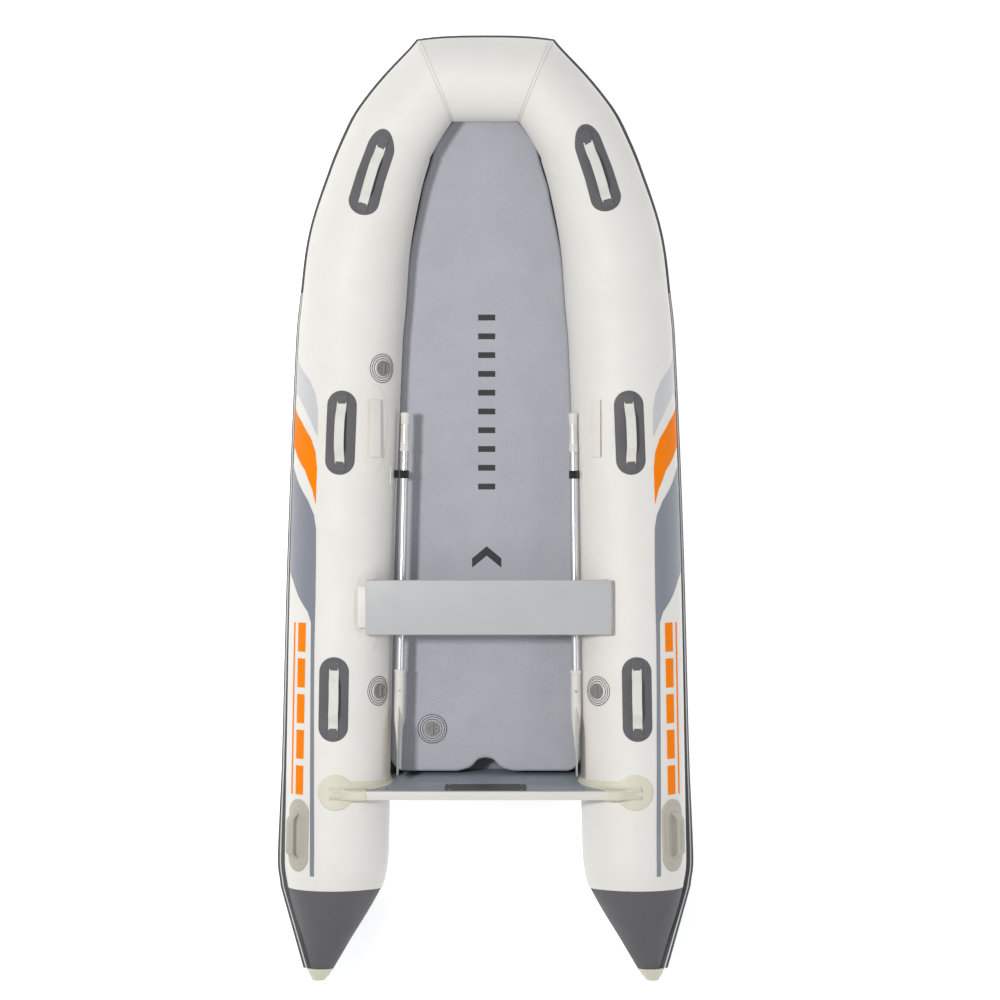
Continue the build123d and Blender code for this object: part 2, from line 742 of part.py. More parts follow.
# ---- bench -------------------------------------------------------------------------------
def rail_spots(y):
    """Planes on both tubes where a pair of rails sits."""
    return [(side, on_tube(side, y, -rail_angle)) for side in (port, starboard)]


def rail_profile(side, y, grow=0.0):
    """T-shaped rail across its length, from inside the tube to its head; X inboard is +side."""
    spot = on_tube(side, y, -rail_angle)
    plane = Plane((spot.origin.X, y, spot.origin.Z), x_dir=spot.z_dir.cross(Vector(0, 1, 0)),
                  z_dir=(0, 1, 0))
    tall = rail_neck_height + skin + gap
    neck = Rectangle(rail_neck_width + 2 * grow, rail_root + tall + grow)
    head = Rectangle(rail_width + 2 * grow, rail_head_height + 2 * grow)
    return plane, Pos(0, (tall - rail_root) / 2) * neck + Pos(0, tall + rail_head_height / 2) * head


def make_rails(y):
    """Pair of rubber rails; each runs straight fore and aft on its patch."""
    rails = []
    for side in (port, starboard):
        plane, profile = rail_profile(side, y)
        rail = extrude(plane * profile, rail_length / 2, both=True)
        rail -= tube_core(side, y - rail_length, y + rail_length, 2 * gap + skin)
        rails.append(rail.solids().sort_by(SortBy.VOLUME)[-1])
    return solids(*rails)


def make_rail_patches(places):
    """Oval patches under the rails, one pair at each place."""
    patches = []
    for y in places:
        for side, spot in rail_spots(y):
            outline = Ellipse(rail_patch_length / 2, rail_patch_width / 2)
            patches.append(layer(side, spot, outline, rail_patch_length / 2 + 10, gap, skin))
    return solids(*patches)


def make_bench(y):
    """Plank and the two channel brackets that run on the rails."""
    plank = Pos(seat_shift, y, seat_underside + seat_thickness / 2) * Box(
        seat_width, seat_depth, seat_thickness)
    pieces["seat_board"] = fillet(plank.edges().filter_by(Axis.Z), seat_corner)
    brackets = []
    for side in (port, starboard):
        plane, gripped = rail_profile(side, y, rail_run_clear)
        tall = rail_neck_height + skin + gap
        low, high = tall - rail_run_clear - bracket_wall, tall + rail_head_height + rail_run_clear
        channel = Pos(0, (low + high + bracket_wall) / 2) * Rectangle(
            rail_width + 2 * (rail_run_clear + bracket_wall), high - low + bracket_wall)
        block = extrude(plane * channel, bracket_length / 2, both=True)
        spot = plane.origin
        web = Pos(spot.X, y, (spot.Z + seat_underside + bracket_web_start) / 2) * Box(
            rail_width * bracket_web_share, bracket_length,
            seat_underside - spot.Z - bracket_web_start)
        flange = Pos(spot.X, y, seat_underside - bracket_wall / 2 - gap / 2) * Box(
            rail_width * bracket_flange_share, bracket_length, bracket_wall - gap)
        shape = block + web + flange
        shape -= extrude(plane * gripped, bracket_length, both=True)
        shape -= tube_core(side, y - bracket_length, y + bracket_length, bench_skin_clear)
        shape -= Pos(spot.X, y, seat_underside + tube_radius / 2) * Box(
            2 * tube_radius, 2 * bracket_length, tube_radius)
        brackets.append(shape.solids().sort_by(SortBy.VOLUME)[-1])
    pieces["seat_brackets"] = solids(*brackets)


# ---- grab handles and stern carry handles ------------------------------------------------
def make_handles(side, places):
    """Stadium patches and the webbing loops sewn to them."""
    patches, straps = [], []
    for y in places:
        spot = on_tube(side, y, handle_angle)
        outline = SlotOverall(handle_patch_length, handle_patch_width)
        patches.append(layer(side, spot, outline, handle_patch_length / 2 + 15, gap, skin))
        half, high = handle_strap_length / 2, handle_loop_height
        foot, flat, thick = handle_loop_foot, half * handle_loop_flat, handle_strap_thickness
        top = [(-half, 0), (-half + foot, 1), (-flat, high), (flat, high), (half - foot, 1),
               (half, 0)]
        low = 1 - 0.4 * thick
        under = [(half - foot, -root_depth), (half - foot, low), (flat - 1, high - 0.2 * thick),
                 (1 - flat, high - 0.2 * thick), (foot - half, low), (foot - half, -root_depth)]
        line = ([(x, z + thick) for x, z in top] + [(half, -root_depth)] + under
                + [(-half, -root_depth)])
        profile = Plane(spot.origin, x_dir=spot.x_dir, z_dir=spot.x_dir.cross(spot.z_dir))
        strap = extrude(profile * make_face(Polyline(*line, close=True)),
                        handle_strap_width / 2, both=True)
        strap -= tube_core(side, y - half - 40, y + half + 40, 2 * gap + skin)
        straps.append(strap.solids().sort_by(SortBy.VOLUME)[-1])
    pieces[side_name[side] + "_handle_patches"] = solids(*patches)
    pieces[side_name[side] + "_handle_straps"] = solids(*straps)


def make_carry_handle(side):
    """Moulded stern handle: a long base on the tube and a stiff grip that stands off it."""
    y = seam_y + carry_from_seam
    spot = on_tube(side, y, carry_angle)
    outline = RectangleRounded(carry_length, carry_width, carry_corner)
    base = layer(side, spot, outline, carry_length / 2 + 15, gap, carry_base_thickness)
    half, high = carry_grip_length / 2, carry_grip_height
    slope, leg = carry_grip_slope, carry_grip_leg
    eye = half - slope - 14
    outer = [(-half, -root_depth), (-half, 0), (-half + slope, high), (half - slope, high),
             (half, 0), (half, -root_depth)]
    inner = [(half - leg, -root_depth), (half - leg, 0), (eye, high - carry_grip_thickness),
             (-eye, high - carry_grip_thickness), (leg - half, 0), (leg - half, -root_depth)]
    profile = Plane(spot.origin, x_dir=spot.x_dir, z_dir=spot.x_dir.cross(spot.z_dir))
    grip = extrude(profile * make_face(Polyline(*outer, *inner, close=True)),
                   carry_grip_width / 2, both=True)
    grip -= tube_core(side, y - carry_grip_length, y + carry_grip_length, gap)
    handle = base + grip
    return handle.solids().sort_by(SortBy.VOLUME)[-1]


# ---- valves ------------------------------------------------------------------------------
def make_valve(name, plane, flange):
    """Barrel with its flange and floor, a sprung plug under the floor, and the screw-in cap."""
    flange_top = valve_flange_thickness + gap
    barrel = Pos(0, 0, (flange_top - valve_depth) / 2) * Cylinder(
        valve_barrel_radius, flange_top + valve_depth)
    bore = Pos(0, 0, valve_floor + (flange_top + 1 - valve_depth) / 2) * Cylinder(
        valve_bore_radius, flange_top + 1 + valve_depth - valve_floor)
    throat = Pos(0, 0, -valve_depth) * Cylinder(valve_port_radius, 4 * valve_floor)
    body = flange + plane * barrel
    body -= plane * (Pos(0, 0, flange_top) * Cylinder(valve_barrel_radius - 1, 2 * valve_floor))
    body -= plane * bore
    body -= plane * throat
    arm = Pos(0, 0, -valve_depth + valve_floor / 2) * Box(
        2 * (valve_port_radius + valve_floor), valve_arm_width, valve_floor)
    hub = Pos(0, 0, -valve_depth + valve_floor) * Cylinder(valve_stem_radius + valve_hub_wall,
                                                           2 * valve_floor)
    spider = (arm + hub) - Pos(0, 0, -valve_depth) * Cylinder(valve_stem_radius + gap,
                                                              2 * valve_depth)
    body += plane * spider
    pieces[name + "_body"] = body.solids().sort_by(SortBy.VOLUME)[-1]

    plug_top = -valve_depth - gap
    plug = Pos(0, 0, plug_top - valve_disc / 2) * Cylinder(valve_plug_radius, valve_disc)
    stem_top = -valve_depth + 2 * valve_floor + valve_press + valve_button_clear
    plug += Pos(0, 0, (plug_top + stem_top) / 2) * Cylinder(
        valve_stem_radius, stem_top - plug_top)
    plug += Pos(0, 0, stem_top + valve_disc / 2) * Cylinder(valve_button_radius, valve_disc)
    pieces[name + "_plunger"] = plane * plug

    seat = flange_top + gap
    cap = Pos(0, 0, seat + valve_cap_height / 2) * Cylinder(valve_cap_radius, valve_cap_height)
    skirt = Cylinder(valve_bore_radius - gap, valve_skirt_length)
    skirt -= Cylinder(valve_bore_radius - gap - valve_skirt_wall, valve_skirt_length)
    cap += Pos(0, 0, seat - valve_skirt_drop) * skirt
    cap += Pos(0, 0, seat + valve_cap_height + valve_bar_height / 2) * Box(
        2 * (valve_cap_radius - valve_bar_inset), valve_bar_width, valve_bar_height)
    pieces[name + "_cap"] = plane * cap


def valve_places():
    """Plane of each valve, Z out of the fabric."""
    aft = seam_y + aft_valve_from_seam
    fore = bow_y - fore_valve_setback
    return {"port_aft_valve": on_tube(port, aft, -port_aft_valve_angle),
            "starboard_aft_valve": on_tube(starboard, aft, -starboard_aft_valve_angle),
            "port_fore_valve": on_tube(port, fore, -fore_valve_angle),
            "deck_valve": Plane((deck_valve_x, transom_y + deck_valve_from_transom, deck_top),
                                x_dir=(1, 0, 0), z_dir=(0, 0, 1))}


def make_valves(places):
    """All four valves: three on the tubes, one in the deck."""
    for name, plane in places.items():
        disc = Circle(valve_flange_radius)
        if name == "deck_valve":
            flange = extrude(shifted(plane, gap) * disc, valve_flange_thickness)
        else:
            side = port if name.startswith("port") else starboard
            flange = layer(side, plane, disc, 2 * valve_flange_radius, gap,
                           valve_flange_thickness)
        make_valve(name, plane, flange)


# ---- oars --------------------------------------------------------------------------------
def oar_plane(side, spot, from_grip):
    """Plane across the oar at a distance from its grip end; Z points aft along the oar."""
    grip_z, blade_z = tube_radius + spot["grip_up"], tube_radius + spot["blade_up"]
    tip_y = transom_plane((grip_z + blade_z) / 2).origin.Y + oar_tip_clear
    tube_side = half_spacing - tube_radius
    grip_end = Vector(side * (tube_side - spot["grip_in"]), tip_y + oar_length, grip_z)
    blade_end = Vector(side * (tube_side - spot["blade_in"]), tip_y, blade_z)
    along = (blade_end - grip_end).normalized()
    return Plane(grip_end + along * from_grip, x_dir=(1, 0, 0), z_dir=along)


def rod(plane, r, start, end):
    """Round bar along the plane's Z, between two distances from it."""
    return plane * (Pos(0, 0, (start + end) / 2) * Cylinder(r, end - start))


def make_oar(side, spot):
    """Oar with its grip, snap button and blade, and the strap that holds it to the tube."""
    name = side_name[side] + "_oar_"
    grip_end = oar_plane(side, spot, 0)
    socket_start = oar_length - socket_length - blade_length
    shaft_end = socket_start + socket_overlap
    button_at = socket_start + button_from_socket
    grip = rod(grip_end, grip_radius, 0, grip_length)
    grip = fillet(grip.edges(), grip_corner)
    grip -= rod(grip_end, shaft_radius, grip_cap, grip_length + 1)
    shaft = rod(grip_end, shaft_radius, grip_cap + gap, shaft_end)
    shaft -= rod(grip_end, shaft_radius - shaft_wall, grip_cap - 1, shaft_end + 1)

    button_plane = oar_plane(side, spot, button_at)
    across = Vector(0, 0, 1) - button_plane.z_dir * button_plane.z_dir.Z
    stem = Plane(button_plane.origin, x_dir=button_plane.z_dir, z_dir=across.normalized())
    hole = stem * (Pos(0, 0, socket_radius) * Cylinder(button_radius + gap, 2 * socket_radius))
    shaft -= hole
    wall_inside = shaft_radius - shaft_wall
    root, tip = wall_inside - button_root, socket_radius + button_stand
    button = Pos(0, 0, (root + tip) / 2) * Cylinder(button_radius, tip - root)
    button += Pos(0, 0, wall_inside - button_collar_below) * Cylinder(
        button_radius + button_collar, button_collar)

    socket = rod(grip_end, socket_radius, socket_start, socket_start + socket_length)
    tip_plane = oar_plane(side, spot, oar_length)
    side_way = tip_plane.z_dir.cross(Vector(1, 0, 0))
    flat = Plane(oar_plane(side, spot, socket_start + socket_length).origin,
                 x_dir=tip_plane.z_dir, z_dir=side_way.cross(tip_plane.z_dir))
    half = blade_height / 2
    line = [(-70, socket_radius), (-20, half * 0.72), (30, half), (blade_length - 22, half),
            (blade_length, half - 30)]
    line += [(x, -z) for x, z in reversed(line)]
    paddle = extrude(flat * make_face(Polyline(*line, close=True)), blade_thickness / 2,
                     both=True)
    blade = socket + paddle
    blade -= rod(grip_end, shaft_radius + gap, socket_start - 1, shaft_end + gap)
    blade -= hole
    pieces[name + "grip"] = grip
    pieces[name + "shaft"] = shaft
    pieces[name + "blade"] = blade.solids().sort_by(SortBy.VOLUME)[-1]
    pieces[name + "button"] = stem * button

    loop_plane = oar_plane(side, spot, oar_strap_from_grip)
    hold = shaft_radius + oar_loop_clear
    loop = loop_plane * Cylinder(hold + oar_strap_thickness, oar_strap_width)
    tube = centre(side, loop_plane.origin.Y)
    toward = tube - loop_plane.origin
    toward = (toward - loop_plane.z_dir * toward.dot(loop_plane.z_dir)).normalized()
    tab = Plane(loop_plane.origin, x_dir=loop_plane.z_dir, z_dir=toward)
    reach = tube_radius / 3
    loop += tab * (Pos(0, 0, reach) * Box(oar_strap_width, 2 * oar_strap_thickness, 2 * reach))
    loop -= loop_plane * Cylinder(hold, 2 * oar_strap_width)
    y = loop_plane.origin.Y
    loop -= tube_core(side, y - reach, y + reach, gap)
    foot_way = (loop_plane.origin - tube).normalized()
    angle = degrees(atan2(foot_way.X * side, foot_way.Z))
    foot = layer(side, on_tube(side, y, angle), RectangleRounded(*oar_strap_foot),
                 oar_strap_foot[0] + 10, gap, oar_strap_thickness)
    loop = loop.solids().sort_by(SortBy.VOLUME)[-1] + foot
    pieces[side_name[side] + "_oar_strap"] = loop.solids().sort_by(SortBy.VOLUME)[-1]


# ---- bow tow ring ------------------------------------------------------------------------
def make_tow_ring():
    """Ring held in a lug that is moulded on a round patch low on the bow tube."""
    middle = Vector(0, mitre_y, tube_radius + bow_rise)
    turn = radians(tow_angle)
    normal = Vector(0, sin(turn), cos(turn))
    plane = Plane(middle + normal * bow_radius, x_dir=(1, 0, 0), z_dir=normal)
    prism = extrude(plane * Circle(tow_patch_radius), tow_patch_radius, both=True)
    patch = prism & (bow_core(gap + tow_patch_thickness) - bow_core(gap))
    patch = patch.solids().sort_by(lambda s: (s.center() - plane.origin).length)[0]
    stand = tow_patch_thickness + tow_lug_radius
    lug = plane * (Pos(0, 0, stand) * Rot(0, 90, 0) * Cylinder(tow_lug_radius, tow_lug_length))
    lug += plane * (Pos(0, 0, stand / 2) * Box(tow_lug_length, 2 * tow_lug_radius, stand))
    lug -= bow_core(gap)
    lug -= plane * (Pos(0, 0, stand) * Rot(0, 90, 0) * Cylinder(
        tow_ring_wire + tow_pin_clear, 2 * tow_lug_length))
    pieces["bow_tow_patch"] = (patch + lug).solids().sort_by(SortBy.VOLUME)[-1]
    # The ring hangs straight down from the lug: a D of round wire.
    pin = plane.origin + plane.z_dir * stand
    half, drop = tow_ring_half_width, tow_ring_drop
    wire = FilletPolyline((half, 0), (half, -drop), (-half, -drop), (-half, 0), close=True,
                          radius=tow_ring_bend)
    hang = Plane(pin, x_dir=(1, 0, 0), z_dir=(0, -1, 0))
    path = hang * wire
    start = path.edges()[0]
    ring = sweep(Plane(start @ 0, z_dir=start % 0) * Circle(tow_ring_wire), path=path)
    pieces["bow_tow_ring"] = ring


# ---- assembly ----------------------------------------------------------------------------
def make_all():
    """Every piece, by the name of its node."""
    places = valve_places()
    pieces["port_tube"] = make_side_tube(port, [places["port_aft_valve"]])
    pieces["starboard_tube"] = make_side_tube(starboard, [places["starboard_aft_valve"]])
    pieces["bow_tube"] = make_bow_tube(places["port_fore_valve"])
    pieces["tube_baffles"] = make_baffles()
    for side in (port, starboard):
        pieces[side_name[side] + "_stern_cone"] = make_cone(side)
        pieces[side_name[side] + "_cone_cap"] = make_cone_cap(side)
        pieces[side_name[side] + "_rub_strake"] = make_side_strake(side)
        pieces[side_name[side] + "_carry_handle"] = make_carry_handle(side)
        make_handles(side, [seam_y + aft_handle_from_seam, bow_y - mid_handle_setback,
                            bow_y - fore_handle_setback])
    pieces["bow_rub_strake"] = make_bow_strake()
    make_deck()
    pieces["bottom_fabric"] = make_bottom_fabric()
    pieces["keel_tube"] = make_keel_tube()
    make_transom()
    bench_y, fore_y = transom_y + seat_from_transom, bow_y - fore_rail_setback
    pieces["seat_rail_patches"] = make_rail_patches([bench_y, fore_y])
    pieces["aft_seat_rails"] = make_rails(bench_y)
    pieces["fore_seat_rails"] = make_rails(fore_y)
    make_bench(bench_y)
    make_valves(places)
    make_oar(port, port_oar)
    make_oar(starboard, starboard_oar)
    make_tow_ring()


make_all()
os.makedirs("parts", exist_ok=True)
for piece_name, piece in pieces.items():
    export_step(piece, f"parts/{piece_name}.step")
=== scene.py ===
"""Looks of a roll-up inflatable dinghy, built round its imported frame.

Frame: X to starboard, Y to the bow, Z up, in metres, with the origin on the ground amidships.
The tubes' lines are those of the frame, repeated here so that every layer follows one skin.
"""
import json
import logging
from dataclasses import dataclass, field
from enum import Enum
from functools import lru_cache
from math import atan2, ceil, cos, degrees, hypot, pi, radians, sin, sqrt, tan
from typing import Callable, Optional, Sequence

import bmesh
import bpy
import numpy as np
from mathutils import Matrix, Vector

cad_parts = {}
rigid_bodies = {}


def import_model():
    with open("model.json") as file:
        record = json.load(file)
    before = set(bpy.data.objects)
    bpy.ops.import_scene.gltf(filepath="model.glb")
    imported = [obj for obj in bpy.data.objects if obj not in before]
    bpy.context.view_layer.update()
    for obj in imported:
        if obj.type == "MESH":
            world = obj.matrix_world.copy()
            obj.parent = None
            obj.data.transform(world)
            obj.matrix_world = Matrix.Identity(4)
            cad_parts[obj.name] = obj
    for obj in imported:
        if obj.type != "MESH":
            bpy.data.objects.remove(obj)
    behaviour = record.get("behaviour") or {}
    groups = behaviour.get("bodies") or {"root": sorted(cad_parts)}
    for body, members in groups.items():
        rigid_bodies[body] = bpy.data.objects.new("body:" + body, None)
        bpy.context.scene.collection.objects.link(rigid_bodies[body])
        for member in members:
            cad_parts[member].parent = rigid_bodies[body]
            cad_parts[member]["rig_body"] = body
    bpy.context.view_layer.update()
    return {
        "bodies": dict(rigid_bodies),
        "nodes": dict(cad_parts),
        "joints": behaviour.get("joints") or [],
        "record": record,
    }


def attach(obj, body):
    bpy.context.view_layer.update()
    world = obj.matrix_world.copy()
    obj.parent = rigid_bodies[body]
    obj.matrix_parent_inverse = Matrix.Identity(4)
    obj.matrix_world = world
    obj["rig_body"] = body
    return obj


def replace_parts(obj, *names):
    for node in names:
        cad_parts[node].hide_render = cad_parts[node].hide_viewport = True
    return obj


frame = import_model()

log = logging.getLogger("dinghy")
MM = 0.001
Line = Sequence[tuple[float, float]]
Tree = bpy.types.NodeTree


class Side(Enum):
    """The two sides of the boat, valued by the sign of X."""

    PORT = -1
    STARBOARD = 1

    @property
    def word(self) -> str:
        """Name of the side, as the nodes have it."""
        return self.name.lower()


class Grain(Enum):
    """Surface relief of a finish."""

    SCRIM = "fabric scrim under a coating"
    DIAMOND = "embossed diamonds"
    RIBBED = "woven ribs of webbing"
    MOULDED = "fine sparkle of a moulding"
    BRUSHED = "fine lines along the piece"
    PAINTED = "paint over wood grain"


# ---- materials -----------------------------------------------------------------------------
def linear(code: str) -> tuple[float, float, float, float]:
    """Turns an sRGB hex colour to linear.

    Args:
        code: six hex digits after a hash.

    Returns:
        Red, green, blue and alpha.
    """
    shares = [int(code[i:i + 2], 16) / 255 for i in (1, 3, 5)]
    return (*(c / 12.92 if c <= 0.04045 else ((c + 0.055) / 1.055) ** 2.4 for c in shares), 1.0)


def add(tree: Tree, kind: str, inputs: Optional[dict] = None, **settings: object) -> bpy.types.Node:
    """Adds a node with its settings and links.

    Args:
        tree: the tree it goes into.
        kind: the node's type.
        inputs: value or output socket for each input, by name or place.
        **settings: the node's own properties.

    Returns:
        The new node.
    """
    node = tree.nodes.new(kind)
    for key, value in settings.items():
        setattr(node, key, value)
    for key, value in (inputs or {}).items():
        if isinstance(value, bpy.types.NodeSocket):
            tree.links.new(value, node.inputs[key])
        else:
            node.inputs[key].default_value = value
    return node


def wave_scale(pitch: float) -> float:
    """Scale of a wave texture whose bands repeat at pitch, in metres."""
    return 2 * pi / (20 * pitch)


@dataclass(frozen=True)
class Finish:
    """A real finish: its colours, gloss and relief.

    The relief's pitch and depth are in millimetres. Drift is how far the colour wanders to the
    second one, over patches of about the drift size. The slot is the record's, if there is one.
    """

    name: str
    colour: str
    worn: str
    roughness: float
    grain: Grain
    pitch: float
    depth: float
    strength: float = 0.5
    ior: float = 1.5
    metallic: float = 0.0
    sheen: float = 0.0
    drift: float = 0.35
    drift_size: float = 120.0
    slot: str = ""

    def relief(self, tree: Tree) -> bpy.types.NodeSocket:
        """Height of the finish's relief.

        Args:
            tree: the material's tree.

        Returns:
            The socket that carries the height.
        """
        where = add(tree, "ShaderNodeTexCoord")
        coords = where.outputs["UV" if self.grain in (Grain.SCRIM, Grain.RIBBED) else "Object"]
        if self.grain is Grain.DIAMOND:
            coords = add(tree, "ShaderNodeMapping", {
                "Vector": coords, "Rotation": (0, 0, radians(45))}).outputs[0]
        if self.grain in (Grain.SCRIM, Grain.DIAMOND, Grain.RIBBED):
            waves = [add(tree, "ShaderNodeTexWave",
                         {"Vector": coords, "Scale": wave_scale(self.pitch * MM)},
                         wave_type="BANDS", wave_profile="SIN", bands_direction=way
                         ).outputs["Fac"] for way in "XY"]
            how = "MULTIPLY" if self.grain is Grain.DIAMOND else "MAXIMUM"
            return add(tree, "ShaderNodeMath", dict(enumerate(waves)), operation=how).outputs[0]
        stretch = {Grain.BRUSHED: (1, 0.02, 1), Grain.PAINTED: (0.12, 1, 1)}.get(
            self.grain, (1, 1, 1))
        scaled = add(tree, "ShaderNodeMapping", {"Vector": coords, "Scale": stretch})
        return add(tree, "ShaderNodeTexNoise", {
            "Vector": scaled.outputs[0], "Scale": 1 / (self.pitch * MM), "Detail": 3.0
            }).outputs["Fac"]

    def material(self) -> bpy.types.Material:
        """Builds the material.

        Returns:
            The material, made once for each finish.
        """
        found = bpy.data.materials.get(self.name)
        if found:
            return found
        made = bpy.data.materials.new(self.name)
        made.use_nodes = True
        tree = made.node_tree
        tree.nodes.clear()
        where = add(tree, "ShaderNodeTexCoord")
        cloud = add(tree, "ShaderNodeTexNoise", {
            "Vector": where.outputs["Object"], "Scale": 1 / (self.drift_size * MM),
            "Detail": 4.0, "Roughness": 0.55})
        height = self.relief(tree)
        amount = add(tree, "ShaderNodeMapRange", {
            "Value": cloud.outputs["Fac"], "From Min": 0.35, "From Max": 0.7,
            "To Min": 0.0, "To Max": self.drift})
        colour = add(tree, "ShaderNodeMix", {
            "Factor": amount.outputs[0], 6: linear(self.colour), 7: linear(self.worn)},
            data_type="RGBA")
        gloss = add(tree, "ShaderNodeMapRange", {
            "Value": cloud.outputs["Fac"], "From Min": 0.3, "From Max": 0.75,
            "To Min": self.roughness * 0.9, "To Max": min(1.0, self.roughness * 1.12)})
        bump = add(tree, "ShaderNodeBump", {
            "Height": height, "Strength": self.strength, "Distance": self.depth * MM})
        shader = add(tree, "ShaderNodeBsdfPrincipled", {
            "Base Color": colour.outputs[2], "Roughness": gloss.outputs[0],
            "Metallic": self.metallic, "IOR": self.ior, "Normal": bump.outputs[0],
            "Sheen Weight": self.sheen})
        add(tree, "ShaderNodeOutputMaterial", {"Surface": shader.outputs[0]})
        return made


class Finishes:
    """Every finish of the boat. Relief too fine to show is drawn a little coarse."""

    # Calendered fabric: satin, warm white, with the scrim just showing through the coating.
    tube = Finish("coated_fabric_white", "#ECE9E4", "#E4E0D9", 0.60, Grain.SCRIM, 2.4, 0.05,
                  strength=0.25, slot="tube_pvc")
    # Weld line along a tape's edge, coloured darker than the fabric: painted shade of the seam.
    weld = Finish("adhesive_line", "#C2BFB9", "#B5B2AC", 0.5, Grain.MOULDED, 1.0, 0.03,
                  slot="tube_pvc")
    # The same fabric in dark grey, for cones and handle patches.
    grey = Finish("coated_fabric_grey", "#605F63", "#585658", 0.68, Grain.SCRIM, 2.4, 0.08,
                  strength=0.35, slot="grey_pvc")
    # Drop-stitch sheet with an anti-slip emboss; the diamonds are 8 mm, as they need to show.
    deck = Finish("embossed_deck_sheet", "#ADAFB7", "#A0A2AB", 0.55, Grain.DIAMOND, 8.0, 0.7,
                  strength=0.8, drift=0.3, slot="deck_pvc")
    # Hull fabric: darker, duller, heavier scrim.
    hull = Finish("coated_hull_fabric", "#7C7E85", "#6F7178", 0.55, Grain.SCRIM, 3.0, 0.12,
                  slot="hull_pvc")
    # Extruded rubber: dull, with faint drawn lines.
    strake = Finish("extruded_rubber_dark", "#4B4C50", "#434448", 0.6, Grain.BRUSHED, 1.5,
                    0.08, slot="strake_rubber")
    bead = Finish("rubber_bead_white", "#D9D9D6", "#C8C8C4", 0.5, Grain.MOULDED, 1.2, 0.03)
    # Moulded soft rubber that has yellowed a little.
    cream = Finish("moulded_rubber_cream", "#DBD8C6", "#CFCBB6", 0.5, Grain.MOULDED, 1.6, 0.08,
                   strength=0.4, slot="cream_rubber")
    # The carry handles' rubber, a light warm grey.
    carry = Finish("moulded_rubber_light_grey", "#BCB7AC", "#ADA89C", 0.6, Grain.MOULDED, 1.6,
                   0.08, strength=0.4, slot="grey_rubber")
    # Painted marine plywood: the grain shows faintly through the paint.
    board = Finish("painted_plywood_blue_grey", "#A3AAB4", "#979FAA", 0.5, Grain.PAINTED, 6.0,
                   0.10, strength=0.35, slot="transom_ply")
    bench = Finish("painted_plywood_grey", "#BDBDBE", "#B2B2B4", 0.45, Grain.PAINTED, 7.0, 0.08,
                   strength=0.3, slot="bench_board")
    plastic = Finish("moulded_nylon_white", "#E2E0DA", "#D6D3CB", 0.42, Grain.MOULDED, 1.2,
                     0.05, slot="white_plastic")
    dark_plastic = Finish("moulded_nylon_dark", "#4B4C48", "#575852", 0.5, Grain.MOULDED, 1.4,
                          0.08, slot="motor_pad")
    bracket = Finish("moulded_nylon_pale", "#E9E6E0", "#DDD9D1", 0.5, Grain.MOULDED, 1.4, 0.08,
                     slot="bracket_plastic")
    rail = Finish("extruded_rubber_white", "#E9E6E0", "#E0DCD4", 0.5, Grain.BRUSHED, 1.2, 0.04,
                  slot="rail_rubber")
    valve = Finish("moulded_valve_white", "#E3E1DC", "#D3D1CC", 0.42, Grain.MOULDED, 1.0, 0.05,
                   slot="valve_plastic")
    deck_flange = Finish("moulded_valve_grey", "#B3B4BA", "#A5A6AC", 0.42, Grain.MOULDED, 1.0,
                         0.05, slot="valve_plastic")
    valve_cap = Finish("moulded_cap_grey", "#9B9A97", "#6F6E6C", 0.45, Grain.MOULDED, 3.0, 0.3,
                       drift=0.9, drift_size=7.0, slot="valve_cap")
    ring = Finish("printed_ring_ink", "#26272B", "#303136", 0.5, Grain.MOULDED, 1.0, 0.02)
    # Polyester webbing: plain ribs across and along, with a soft sheen.
    webbing = Finish("woven_webbing", "#E6E4DE", "#D5D2CA", 0.8, Grain.RIBBED, 2.2, 0.35,
                     strength=0.8, sheen=0.3, slot="webbing")
    thread = Finish("polyester_thread", "#C9C7C1", "#B9B6AF", 0.7, Grain.BRUSHED, 0.5, 0.05)
    dark_thread = Finish("polyester_thread_grey", "#8B8A8A", "#777676", 0.7, Grain.BRUSHED, 0.5,
                         0.05)
    strap = Finish("hook_and_loop_black", "#121214", "#1C1C1F", 0.9, Grain.RIBBED, 1.8, 0.3,
                   strength=0.7, sheen=0.4, slot="black_strap")
    # Anodised aluminium tube: bright, drawn lines along it.
    oar_tube = Finish("anodised_aluminium", "#D9DADC", "#C9CACD", 0.32, Grain.BRUSHED, 0.6, 0.02,
                      metallic=0.85, slot="oar_tube")
    steel = Finish("stainless_steel", "#C4C4C2", "#A8A8A6", 0.28, Grain.BRUSHED, 0.6, 0.02,
                   metallic=1.0, slot="steel")
    # Screen-printed flexible ink and transfer film.
    orange = Finish("printed_film_orange", "#FF8600", "#F77E00", 0.6, Grain.SCRIM, 2.4, 0.04,
                    ior=1.2)
    slate = Finish("printed_film_slate", "#858993", "#7D818C", 0.42, Grain.SCRIM, 2.4, 0.04)
    pale = Finish("printed_film_pale", "#CBCCCE", "#C3C4C7", 0.42, Grain.SCRIM, 2.4, 0.04)
    ink = Finish("printed_ink_black", "#15161C", "#1D1E25", 0.5, Grain.DIAMOND, 8.0, 0.3)


